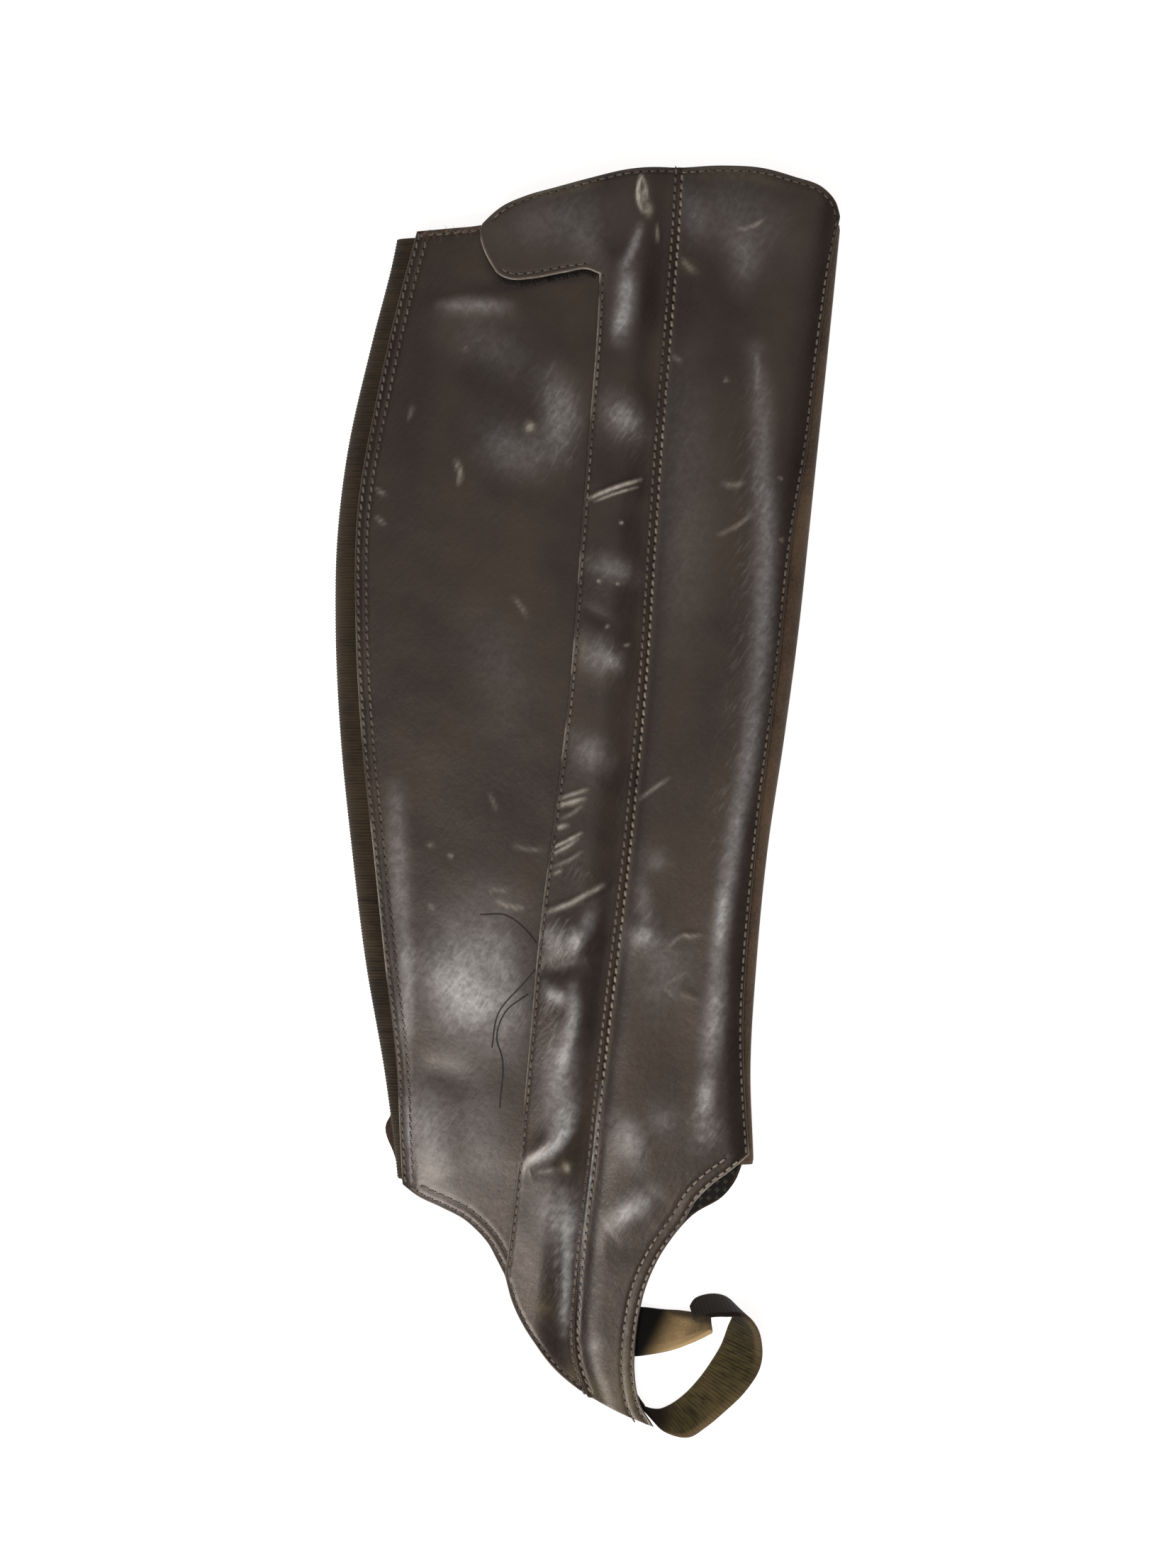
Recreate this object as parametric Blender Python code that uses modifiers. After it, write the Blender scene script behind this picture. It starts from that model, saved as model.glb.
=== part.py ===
"""Half chap for the left leg, laid flat on its inner side.

The leather faces up, the suede lies on the surface. X runs across the leg, Y up the leg and
Z off the surface. Tables and sizes are in millimetres, and the mesh is written in metres.
"""
import bmesh
import bpy
import numpy as np

MM = 0.001
# Middle of the finished outline, where the origin lies
CENTRE = np.array([-0.32, 0.08, 0.0])

# Walls and laps
LEATHER = 1.8
SUEDE = 1.4
ELASTIC = 1.0
LINING = 0.8
TAPE = 1.0
CHAIN = 1.2
WEBBING = 1.8
GAP = 0.3
LAP = LEATHER + GAP
SEAM_GAP = 0.45

# The filled-out form: how much of its thickness lies under the fold, how wide the rolled sides are
FOLD_SHARE = 1.0 / 3.0
SIDE_SHARE = 0.93
UNDER_SHARE = 0.32
GUSSET_TURN_SHARE = 0.21
CROWN = 1.0

# Laps and margins
GUSSET_UNDER_LEATHER = 8.0
GUSSET_OVER_SUEDE = 13.0
SUEDE_UNDER_LEATHER = 4.0
SUEDE_LOOSE = 0.8
SUEDE_LOOSE_FROM = -95.0
SUEDE_LOOSE_OVER = 25.0
LINING_MARGIN = 14.0
LINING_INSET = 0.8
LINING_CLEAR = 2.0
LINING_LEFT = (-142.0, 196.0)
LINING_RIGHT = (-132.0, 207.0)
BACK_STOPS_SHORT = 15.0
BACK_HIDDEN_FROM = -188.0
COVER_RISE = 11.0
TAPE_LEFT = 22.0
TAPE_RIGHT = 9.0
CHAIN_LEFT = 13.0
CHAIN_RIGHT = 8.0
ZIP_TOP = 214.0
ZIP_FOOT = -176.0
TAB_LIFT = 1.3
TAB_LIFT_FROM = 178.0
TAB_LIFT_FULL = 190.0
TAB_RISE_FROM = 18.0
TAB_RISE_OVER = 14.0
FASTENER = 1.0
FASTENER_AT = (-20.0, 202.0)
FASTENER_SIZE = (24.0, 12.0)

# Height up the leg, left fold, right fold, thickness
FORM = (
    (228.0, -65.0, 92.5, 12.5),
    (196.0, -70.4, 89.4, 13.5),
    (166.0, -78.0, 86.4, 14.5),
    (125.0, -87.1, 82.1, 15.5),
    (95.0, -90.6, 79.0, 16.0),
    (64.0, -91.2, 75.7, 16.0),
    (24.0, -89.4, 70.4, 15.6),
    (-17.0, -85.3, 64.3, 15.0),
    (-57.0, -80.4, 60.4, 14.2),
    (-98.0, -73.4, 58.2, 13.2),
    (-126.0, -69.8, 59.2, 12.5),
    (-145.0, -68.0, 59.8, 11.2),
    (-170.0, -66.0, 60.0, 10.0),
    (-200.0, -64.0, 60.0, 9.0),
    (-232.0, -62.0, 60.0, 8.6),
)

# Cut edges and seams of the leather, as across and up, from the foot to the top
BACK_EDGE = (
    (-67.1, -136.9), (-68.0, -118.0), (-68.7, -98.0), (-73.1, -57.7), (-77.3, -17.0),
    (-81.5, 23.6), (-83.6, 64.0), (-82.9, 105.0), (-76.0, 145.5), (-68.1, 181.0), (-61.7, 205.0),
)
BACK_HEEL = (
    (-67.1, -136.9), (-61.5, -141.0), (-53.1, -145.0), (-44.5, -149.6), (-40.4, -153.2),
    (-36.1, -158.2), (-33.0, -164.0), (-29.0, -172.0), (-25.0, -180.0), (-20.0, -189.0),
)
BACK_TOP = ((-61.7, 205.0), (-50.0, 206.0), (-38.6, 207.2), (-20.0, 213.8), (0.0, 220.5), (16.5, 224.5))
COVER_EDGE = (
    (-30.2, -169.2), (-26.2, -136.9), (-22.1, -94.7), (-17.3, -42.4), (-11.2, 4.8), (-6.6, 45.0),
    (-3.3, 89.7), (-0.2, 130.3), (3.0, 171.0), (3.8, 189.2),
)
COVER_FOOT = (
    (-30.2, -169.2), (-27.4, -179.3), (-23.4, -187.7), (-19.1, -194.3), (-13.2, -201.9),
    (-5.6, -209.0), (-0.4, -212.8),
)
CENTRE_SEAM = (
    (-0.4, -212.8), (-4.3, -201.2), (-5.3, -188.5), (-4.3, -175.8), (-2.3, -154.7), (0.3, -133.9),
    (4.2, -96.0), (7.1, -70.9), (10.2, -45.7), (15.2, 0.0), (19.3, 45.0), (22.9, 100.0),
    (25.1, 131.8), (26.7, 151.4), (29.5, 186.0), (31.0, 206.0), (32.3, 227.8),
)
TAB_UNDERSIDE = (
    (-34.8, 192.3), (-32.9, 189.6), (-30.5, 188.0), (-28.0, 187.2), (-20.3, 187.5), (-8.4, 189.7),
    (-0.5, 190.8), (3.8, 189.2),
)
TAB_END = ((-34.8, 192.3), (-37.3, 197.1), (-38.9, 203.7), (-38.1, 207.3))
TAB_TOP = (
    (-38.1, 207.3), (-35.3, 210.1), (-31.2, 213.4), (-22.9, 217.2), (-11.4, 220.5), (0.8, 223.8),
    (14.5, 227.1), (24.0, 227.9), (32.3, 227.8),
)
FRONT_TOP = (
    (32.3, 227.8), (48.8, 228.6), (62.0, 227.8), (73.2, 224.8), (84.1, 220.7), (88.6, 216.0),
    (90.4, 210.6),
)
SHIN_SEAM = (
    (57.6, -126.2), (55.9, -100.3), (55.4, -79.2), (56.4, -58.2), (60.7, -10.4), (67.6, 45.0),
    (73.7, 100.0), (78.0, 125.2), (83.3, 168.7), (87.9, 198.9), (90.4, 210.6),
)
ARCH = (
    (23.4, -224.2), (18.8, -217.2), (16.3, -204.5), (16.8, -192.8), (20.6, -173.2), (24.6, -164.1),
    (34.8, -148.8), (38.1, -143.0), (44.2, -136.7), (50.8, -131.8), (57.6, -126.2),
)
TIP = ((-0.4, -212.8), (8.6, -217.9), (17.0, -221.7), (23.4, -224.2))
GUSSET_FOOT = -135.0
GUSSET_TOP = 203.0

# Suede and lining on the underside
SUEDE_LEFT = (
    (-67.5, -136.0), (-70.2, -127.0), (-73.4, -116.5), (-70.2, -110.0), (-69.5, -98.0), (-75.4, -57.0),
    (-80.3, -17.0), (-84.4, 24.0), (-86.2, 64.0), (-85.6, 95.0), (-82.1, 125.0), (-73.0, 166.0),
    (-64.5, 199.0),
)
SUEDE_FOOT = (
    (-67.5, -136.0), (-53.1, -143.5), (-41.0, -151.0), (-33.0, -161.5), (-25.0, -176.5),
    (-16.0, -188.0), (-2.0, -196.0), (12.0, -198.6), (17.0, -190.0), (19.5, -177.5), (23.5, -167.0),
    (29.8, -157.2), (37.5, -148.6), (48.8, -141.5), (53.0, -136.0), (55.2, -130.0),
)
SUEDE_TOP = (
    (-64.5, 199.0), (-38.0, 203.0), (0.0, 217.0), (32.0, 222.5), (60.0, 222.0), (76.0, 216.0),
    (86.0, 208.0),
)

# Stirrup band: each station gives its outer edge and its inner edge, as across, up and height
TONGUE = (
    ((8.0, -199.0, 3.8), (8.0, -182.5, 3.8)),
    ((17.5, -199.2, 4.2), (18.8, -181.5, 3.4)),
    ((24.1, -198.0, 6.5), (27.0, -182.5, 2.6)),
    ((31.0, -195.8, 10.5), (33.0, -183.0, 2.2)),
    ((37.8, -192.5, 14.0), (38.5, -184.0, 2.0)),
    ((44.2, -188.8, 15.5), (44.0, -185.3, 2.0)),
)
STRAP = (
    ((36.5, -186.3, 8.7), (36.0, -179.6, 2.0)),
    ((42.5, -184.2, 12.5), (42.0, -177.6, 1.5)),
    ((48.8, -183.2, 16.0), (48.5, -178.2, 1.3)),
    ((56.0, -183.8, 16.8), (52.5, -182.5, 1.2)),
    ((59.8, -188.0, 16.0), (50.2, -189.0, 1.2)),
    ((61.9, -195.0, 14.0), (47.8, -195.3, 1.2)),
    ((61.2, -202.6, 11.5), (44.2, -201.4, 1.2)),
    ((56.5, -210.5, 10.5), (39.6, -207.8, 1.2)),
    ((48.5, -218.5, 10.0), (34.3, -213.4, 1.3)),
    ((41.7, -224.3, 9.0), (29.0, -217.0, 2.2)),
    ((36.1, -228.0, 7.3), (25.4, -218.2, 3.4)),
    ((27.8, -226.6, 5.0), (20.5, -217.3, 4.3)),
    ((19.0, -218.3, 4.9), (14.0, -208.6, 4.8)),
    ((12.0, -213.2, 5.6), (9.0, -204.0, 5.6)),
)


def smooth(knots, values, at):
    """Cubic curve through the values, with slopes from their neighbours."""
    knots = np.asarray(knots, float)
    values = np.asarray(values, float)
    slopes = np.gradient(values, knots)
    i = np.clip(np.searchsorted(knots, at) - 1, 0, len(knots) - 2)
    step = knots[i + 1] - knots[i]
    t = (at - knots[i]) / step
    start = (2 * t - 3) * t * t + 1
    leave = ((t - 2) * t + 1) * t * step
    arrive = (t - 1) * t * t * step
    return start * values[i] + (1 - start) * values[i + 1] + leave * slopes[i] + arrive * slopes[i + 1]


def form_at(up):
    """Left fold, right fold and thickness of the form at a height up the leg."""
    table = np.array(FORM)[::-1]
    return [smooth(table[:, 0], table[:, column], up) for column in (1, 2, 3)]


def leather_height(across, up):
    """Height of the leather's outer face; its form reaches one lap past both folds."""
    left, right, high = form_at(up)
    left = left - LAP
    right = right + LAP
    side = SIDE_SHARE * high
    low = FOLD_SHARE * high
    roll = 1.0
    for inset in (across - left, right - across):
        share = np.clip(inset / side, 0.0, 1.0)
        roll = roll * np.sqrt(1.0 - (1.0 - share) ** 2)
    middle = (left + right) / 2
    bulge = CROWN * (1.0 - ((across - middle) / (right - middle)) ** 2)
    return low + (high - low - CROWN) * roll + bulge


def ease(share):
    """Soft step from 0 to 1."""
    t = np.clip(share, 0.0, 1.0)
    return t * t * (3 - 2 * t)


def lengths(points):
    """Share of the curve's length at each of its points."""
    steps = np.linalg.norm(np.diff(points, axis=0), axis=1)
    total = np.concatenate(([0.0], np.cumsum(steps)))
    return total / total[-1]


def run(points, shares):
    """Smooth curve through the points, read at shares of its length."""
    points = np.asarray(points, float)
    knots = lengths(points)
    columns = [smooth(knots, points[:, k], np.asarray(shares)) for k in range(points.shape[1])]
    return np.stack(columns, axis=1)


def even(count):
    return np.linspace(0.0, 1.0, count + 1)


def patch(left, right, bottom, top):
    """Grid of points between four cut edges that share their corners."""
    u = ((lengths(bottom) + lengths(top)) / 2)[:, None, None]
    v = ((lengths(left) + lengths(right)) / 2)[None, :, None]
    across = (1 - u) * left[None] + u * right[None]
    upward = (1 - v) * bottom[:, None] + v * top[:, None]
    corners = ((1 - u) * (1 - v) * left[0] + u * (1 - v) * right[0]
               + (1 - u) * v * left[-1] + u * v * right[-1])
    return across + upward - corners


def lay(grid, height):
    """Lift a flat grid to a height that is a number or a function of its place."""
    across = grid[..., 0]
    up = grid[..., 1]
    z = height(across, up) if callable(height) else np.full_like(across, height)
    return np.stack([across, up, z], axis=-1)


def material(name, colour, roughness):
    made = bpy.data.materials.new(name)
    made.use_nodes = True
    shader = made.node_tree.nodes["Principled BSDF"]
    shader.inputs["Base Color"].default_value = (*colour, 1.0)
    shader.inputs["Roughness"].default_value = roughness
    shader.inputs["Metallic"].default_value = 0.0
    return made


def wall(name, grids, thickness, finish, faces_down=False, offset=-1.0):
    """Weld grids of outer points into one open surface and give it its thickness."""
    mesh = bpy.data.meshes.new(name)
    build = bmesh.new()
    for grid in grids:
        rows = [[build.verts.new((point - CENTRE) * MM) for point in line] for line in grid]
        for near, far in zip(rows, rows[1:]):
            for j in range(len(near) - 1):
                corners = [near[j], far[j], far[j + 1], near[j + 1]]
                build.faces.new(corners[::-1] if faces_down else corners)
    bmesh.ops.remove_doubles(build, verts=build.verts, dist=0.01 * MM)
    build.to_mesh(mesh)
    build.free()
    mesh.materials.append(finish)
    piece = bpy.data.objects.new(name, mesh)
    solidify = piece.modifiers.new("Wall", "SOLIDIFY")
    solidify.thickness = thickness * MM
    solidify.offset = offset
    solidify.use_even_offset = True
    parts.objects.link(piece)
    return piece


def roll_under_leather(side, up, start, count, loose=0.0):
    """Points one lap inside the leather's form, from a start across to the fold.

    A loose lap hangs lower where it starts and comes back to the form at the fold.
    """
    fold = form_at(up)[0 if side < 0 else 1] + side * LAP
    shares = (1.0 - even(count)) ** 2
    across = fold + (start - fold) * shares
    height = leather_height(across, np.full_like(across, up))
    along = np.stack([np.gradient(across), np.gradient(height)], axis=1)
    along[-1] = (0.0, -1.0)
    along /= np.linalg.norm(along, axis=1)[:, None]
    inward = np.stack([side * along[:, 1], -side * along[:, 0]], axis=1)
    depth = LAP + loose * np.sqrt(shares)
    return np.stack([across, height], axis=1) + depth[:, None] * inward


def turn_to_underside(side, up, floor, reach, count):
    """Quarter ellipse from the fold down to the flat underside."""
    fold = form_at(up)[0 if side < 0 else 1]
    low = FOLD_SHARE * form_at(up)[2]
    angle = even(count)[1:] * np.pi / 2
    across = fold - side * reach * (1 - np.cos(angle))
    height = floor + (low - floor) * (1 - np.sin(angle))
    return np.stack([across, height], axis=1)


def build_back_panel(finish):
    columns = np.array([0.0, 0.05, 0.11, 0.2, 0.34, 0.5, 0.67, 0.84, 1.0])
    rows = even(30)
    hidden = np.array([p for p in CENTRE_SEAM if p[1] > BACK_HIDDEN_FROM]) - (BACK_STOPS_SHORT, 0.0)
    hidden[0] = BACK_HEEL[-1]
    hidden[-1] = BACK_TOP[-1]
    flat = patch(run(BACK_EDGE, rows), run(hidden, rows), run(BACK_HEEL, columns), run(BACK_TOP, columns))
    wall("back_panel", [lay(flat, leather_height)], LEATHER, finish)


def build_front_panel(finish):
    """The leg and the foot of the panel lie end to end, so that the foot keeps the curve of its arch."""
    columns = np.array([0.0, 0.16, 0.32, 0.48, 0.62, 0.74, 0.84, 0.91, 0.96, 1.0])
    arch = run(ARCH, even(12))
    shin = run(SHIN_SEAM, even(27))
    right = np.concatenate([arch, shin[1:]])
    left = run(CENTRE_SEAM, lengths(right)) + (SEAM_GAP, 0.0)
    tip = run(TIP, columns)
    top = run(FRONT_TOP, columns)
    tip[0] = left[0]
    top[0] = left[-1]
    flat = patch(left, right, tip, top)
    foot = flat[:, :len(arch)].copy()
    leg = flat[:, len(arch) - 1:].copy()
    foot[:, -1, 1] -= SEAM_GAP / 2
    leg[:, 0, 1] += SEAM_GAP / 2
    wall("front_panel_foot", [lay(foot, leather_height)], LEATHER, finish)
    wall("front_panel", [lay(leg, leather_height)], LEATHER, finish)


def seam_at(up):
    seam = np.array(CENTRE_SEAM)
    return smooth(seam[:, 1], seam[:, 0], up)


def cover_height(across, up):
    """The cover leaves the seam level with the front and rises onto the back panel."""
    inset = seam_at(up) - across
    rise = LAP * ease(inset / COVER_RISE)
    over_tab = ease((up - TAB_LIFT_FROM) / (TAB_LIFT_FULL - TAB_LIFT_FROM))
    tab = TAB_LIFT * over_tab * ease((inset - TAB_RISE_FROM) / TAB_RISE_OVER)
    return leather_height(across, up) + rise + tab


def build_zip_cover(finish):
    rows = even(36)
    columns = even(5)
    tab_columns = even(6)
    seam = np.array(CENTRE_SEAM)
    join = COVER_EDGE[-1][1]
    body_seam = np.array([p for p in CENTRE_SEAM if p[1] < join] + [(seam_at(join), join)])
    left = run(COVER_EDGE, rows)
    right = run(body_seam, rows)
    shared = np.linspace(COVER_EDGE[-1], right[-1], len(columns))
    body = patch(left, right, run(COVER_FOOT, columns), shared)
    tab_seam = np.array([right[-1]] + [p for p in seam.tolist() if p[1] > join])
    end = run(TAB_END, even(4))
    bottom = np.concatenate([run(TAB_UNDERSIDE, tab_columns), shared[1:]])
    top = run(TAB_TOP, lengths(bottom))
    tab = patch(end, run(tab_seam, lengths(end)), bottom, top)
    wall("zip_cover", [lay(body, cover_height), lay(tab, cover_height)], LEATHER, finish)


def build_strip(name, left_of_seam, right_of_seam, drop, thickness, finish):
    """Long strip that follows the centre seam at a level under the leather's face."""
    ups = np.linspace(ZIP_FOOT, ZIP_TOP, 29)
    middle = seam_at(ups)
    sides = np.linspace(-left_of_seam, right_of_seam, 4)
    flat = np.stack([np.stack([middle + side, ups], axis=1) for side in sides])
    wall(name, [lay(flat, lambda x, y: leather_height(x, y) - drop)], thickness, finish)


def build_tab_fastener(finish):
    across = FASTENER_AT[0] + FASTENER_SIZE[0] * (even(4) - 0.5)
    up = FASTENER_AT[1] + FASTENER_SIZE[1] * (even(2) - 0.5)
    flat = np.stack(np.meshgrid(across, up, indexing="ij"), axis=-1)
    level = GAP + FASTENER
    wall("tab_fastener", [lay(flat, lambda x, y: leather_height(x, y) + level)], FASTENER, finish)


def build_gusset(finish):
    floor = SUEDE + GAP
    edge = np.array(BACK_EDGE)
    lines = []
    for up in np.linspace(GUSSET_FOOT, GUSSET_TOP, 29):
        start = smooth(edge[:, 1], edge[:, 0], up) + GUSSET_UNDER_LEATHER
        fold, _, high = form_at(up)
        reach = GUSSET_TURN_SHARE * high
        flange = [(fold + reach + (GUSSET_OVER_SUEDE - reach) * share, floor) for share in (0.5, 1.0)]
        path = np.concatenate([
            roll_under_leather(-1, up, start, 7), turn_to_underside(-1, up, floor, reach, 4), flange])
        lines.append([(x, up, z) for x, z in path])
    grid = np.array(lines).transpose(1, 0, 2)
    wall("gusset", [grid], ELASTIC, finish, faces_down=True)


def build_inner_panel(finish):
    rows = even(29)
    columns = even(15)
    right = []
    seam = np.array(SHIN_SEAM)
    start_up, end_up = SUEDE_FOOT[-1][1], SUEDE_TOP[-1][1]
    ups = np.linspace(start_up, end_up, len(rows))
    rolls = []
    for up in ups:
        fold, high = form_at(up)[1:]
        reach = UNDER_SHARE * high
        right.append((fold - reach, up))
        start = smooth(seam[:, 1], seam[:, 0], max(up, SHIN_SEAM[0][1])) - SUEDE_UNDER_LEATHER
        loose = SUEDE_LOOSE * ease((SUEDE_LOOSE_FROM - up) / SUEDE_LOOSE_OVER)
        path = np.concatenate([
            roll_under_leather(1, up, start, 6, loose), turn_to_underside(1, up, 0.0, reach, 4)])
        rolls.append([(x, up, z) for x, z in path[::-1]])
    right = np.array(right)
    foot = np.array(SUEDE_FOOT)
    top = np.array(SUEDE_TOP)
    foot[-1] = right[0]
    top[-1] = right[-1]
    flat = patch(run(SUEDE_LEFT, lengths(right)), right, run(foot, columns), run(top, columns))
    grids = [lay(flat, 0.0), np.array(rolls).transpose(1, 0, 2)]
    wall("inner_panel", grids, SUEDE, finish, faces_down=True)


def build_lining(finish):
    columns = even(14)
    rows = even(12)
    ups = np.linspace(*LINING_LEFT, 12)
    left = np.stack([form_at(ups)[0] + LINING_MARGIN, ups], axis=1)
    ups_right = np.linspace(*LINING_RIGHT, 12)
    fold, high = form_at(ups_right)[1:]
    right = np.stack([fold - UNDER_SHARE * high - LINING_CLEAR, ups_right], axis=1)
    foot = np.array([p for p in SUEDE_FOOT if left[0][0] < p[0] < right[0][0] - LINING_CLEAR])
    foot = np.concatenate([left[:1], foot + (0.0, LINING_INSET), right[:1]])
    top = np.array([p for p in SUEDE_TOP if left[-1][0] < p[0] < right[-1][0] - LINING_CLEAR])
    top = top - (0.0, LINING_CLEAR)
    top = np.concatenate([left[-1:], top, right[-1:]])
    flat = patch(run(left, rows), run(right, rows), run(foot, columns), run(top, columns))
    wall("lining", [lay(flat, SUEDE + GAP + LINING)], LINING, finish)


def build_band(name, stations, rows, finish):
    """Band lofted through stations that give its far and near edges."""
    far = run([station[0] for station in stations], even(rows))
    near = run([station[1] for station in stations], even(rows))
    sides = even(3)[:, None, None]
    wall(name, [near[None] * sides + far[None] * (1 - sides)], WEBBING, finish, offset=0.0)


for old in list(bpy.data.objects):
    bpy.data.objects.remove(old)
parts = bpy.data.collections.new("half_chap")
bpy.context.scene.collection.children.link(parts)

leather = material("brown_black_leather", (0.040, 0.032, 0.029), 0.45)
cover_leather = material("cover_leather", (0.045, 0.036, 0.032), 0.42)
suede = material("brown_suede", (0.24, 0.16, 0.11), 0.95)
elastic = material("ribbed_elastic", (0.085, 0.062, 0.043), 0.85)
mesh_lining = material("mesh_lining", (0.014, 0.014, 0.010), 0.9)
zip_tape = material("woven_zip_tape", (0.02, 0.017, 0.015), 0.85)
zip_teeth = material("moulded_zip_teeth", (0.03, 0.027, 0.025), 0.5)
hook_and_loop = material("hook_and_loop", (0.015, 0.014, 0.013), 0.95)
webbing = material("olive_webbing", (0.12, 0.095, 0.045), 0.85)
tan_suede = material("tan_suede", (0.45, 0.33, 0.19), 0.95)

build_back_panel(leather)
build_front_panel(leather)
build_zip_cover(cover_leather)
build_strip("zip_tape", TAPE_LEFT, TAPE_RIGHT, LAP, TAPE, zip_tape)
build_strip("zip_chain", CHAIN_LEFT, -CHAIN_RIGHT, LAP - GAP - CHAIN, CHAIN, zip_teeth)
build_tab_fastener(hook_and_loop)
build_gusset(elastic)
build_inner_panel(suede)
build_lining(mesh_lining)
build_band("strap_tongue", TONGUE, 14, tan_suede)
build_band("stirrup_strap", STRAP, 39, webbing)
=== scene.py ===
# %% [markdown]
# # A half chap, laid flat
# This is the left one of a worn pair of riding half chaps. It is a leather tube for the lower leg,
# with a zip down the outside and a stirrup band under the foot, and it lies flat on its inner side.
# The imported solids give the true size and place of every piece. Here each piece gets a finer sheet
# with creases, stitches, worn edges and a finish of its own, because cloth and leather are known by
# their surface more than by their outline.

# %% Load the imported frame
import math

import bmesh
import bpy
import numpy as np
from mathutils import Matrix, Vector
from mathutils.kdtree import KDTree


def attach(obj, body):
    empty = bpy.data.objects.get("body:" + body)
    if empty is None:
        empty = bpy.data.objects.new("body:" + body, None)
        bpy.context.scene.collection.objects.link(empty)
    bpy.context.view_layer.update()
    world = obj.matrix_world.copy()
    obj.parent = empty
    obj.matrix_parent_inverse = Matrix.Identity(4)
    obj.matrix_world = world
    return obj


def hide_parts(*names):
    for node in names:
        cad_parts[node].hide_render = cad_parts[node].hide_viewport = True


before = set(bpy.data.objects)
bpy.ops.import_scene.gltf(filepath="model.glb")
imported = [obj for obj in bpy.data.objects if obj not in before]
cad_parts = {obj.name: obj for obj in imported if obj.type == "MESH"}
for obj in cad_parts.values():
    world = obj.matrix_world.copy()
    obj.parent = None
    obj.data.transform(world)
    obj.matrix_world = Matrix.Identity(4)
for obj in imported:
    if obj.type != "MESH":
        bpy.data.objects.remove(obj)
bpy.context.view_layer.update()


def put(name, data):
    """New object in the scene from a mesh, a curve, a camera or a light."""
    piece = bpy.data.objects.new(name, data)
    bpy.context.scene.collection.objects.link(piece)
    return piece


# %% [markdown]
# ## Camera
# The picture was taken from straight above. A long lens far away keeps the outline true, as a
# product photograph does. The lens and the sensor give the distance from the height of floor that
# the picture has to take in.

# %% Camera
LENS = 105.0
SENSOR = 36.0
PICTURE_HEIGHT = 0.562
PICTURE_MIDDLE = 0.0068
LEATHER_LEVEL = 0.012

camera = put("camera", bpy.data.cameras.new("camera"))
camera.data.lens = LENS
camera.data.sensor_width = SENSOR
camera.location = (0.0, PICTURE_MIDDLE, LEATHER_LEVEL + PICTURE_HEIGHT * LENS / SENSOR)
bpy.context.scene.camera = camera
print("camera height, m:", round(camera.location.z, 3))

# %% [markdown]
# ## Floor and light
# A pale floor that glows a little stands for the light table of a studio, which keeps the ground
# white while the leather stays dark. Polished leather shows its shape by what it reflects. A
# wide panel overhead gives the flat parts a faint sheen and lets the rolled sides fall dark, and a
# smaller, stronger light past the foot draws bright spots on folds and pillows. Many bright clouds
# and dark hollows on the leather are also painted into its colour, as painted highlights and shade.

# %% Floor and lights
FLOOR_HALF = 3.0
FLOOR_BELOW = 0.0002
TABLE_GLOW = 0.8
WARM = (1.0, 0.965, 0.93)
SKY = 0.2


def soft_light(name, place, size, power):
    """Rectangular light that faces the chap, with its width and length in metres and its watts."""
    lamp = put(name, bpy.data.lights.new(name, "AREA"))
    lamp.data.shape = "RECTANGLE"
    lamp.data.size, lamp.data.size_y = size
    lamp.data.energy = power
    lamp.data.color = WARM
    lamp.location = place
    lamp.rotation_euler = (-Vector(place)).to_track_quat("-Z", "Y").to_euler()


bpy.ops.mesh.primitive_plane_add(size=2 * FLOOR_HALF)
floor = bpy.context.object
floor.name = "floor"
floor.location.z = -FLOOR_BELOW
soft_light("ceiling", (0.05, 0.10, 1.90), (1.3, 1.8), 3.4)
soft_light("key", (-0.35, -0.78, 1.35), (0.5, 0.6), 13.0)
world = bpy.data.worlds.new("studio")
bpy.context.scene.world = world
world.use_nodes = True
background = world.node_tree.nodes["Background"].inputs
background["Color"].default_value = (*WARM, 1.0)
background["Strength"].default_value = SKY
bpy.context.scene.view_settings.view_transform = "Standard"

# %% [markdown]
# ## How a finish is written
# Colours are written as the sRGB hex values that a picture editor shows, and one function turns
# them to the linear values that the shader needs. Patterns are placed by the object's own
# coordinates, so their scale is a real size: `per(1.1)` repeats every 1.1 mm. One small function
# adds a node, sets it and links what feeds it.

# %% Colour and node helpers


def linear(code):
    """Linear RGBA of an sRGB hex colour."""
    parts = [int(code[k:k + 2], 16) / 255 for k in (1, 3, 5)]
    return (*[c / 12.92 if c <= 0.04045 else ((c + 0.055) / 1.055) ** 2.4 for c in parts], 1.0)


def per(millimetres):
    """Repeats in a metre of a pattern with this spacing."""
    return 1000.0 / millimetres


def add(tree, kind, inputs=None, **settings):
    """Add a node; a value may be another node, whose first output in use feeds the socket."""
    node = tree.nodes.new("ShaderNode" + kind)
    for key, value in settings.items():
        setattr(node, key, value)
    for key, value in (inputs or {}).items():
        named = [s for s in node.inputs if s.enabled and s.name == key] or [node.inputs[key]]
        if isinstance(value, bpy.types.Node):
            value = next(s for s in value.outputs if s.enabled)
        if isinstance(value, bpy.types.NodeSocket):
            tree.links.new(value, named[0])
        else:
            named[0].default_value = value
    return node


def blank(name, sockets):
    """New material with constant values on its shader, and the object's coordinates."""
    made = bpy.data.materials.new(name)
    made.use_nodes = True
    tree = made.node_tree
    shader = tree.nodes["Principled BSDF"]
    for key, value in sockets.items():
        shader.inputs[key].default_value = value
    return made, tree, shader, add(tree, "TexCoord").outputs["Object"]


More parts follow.
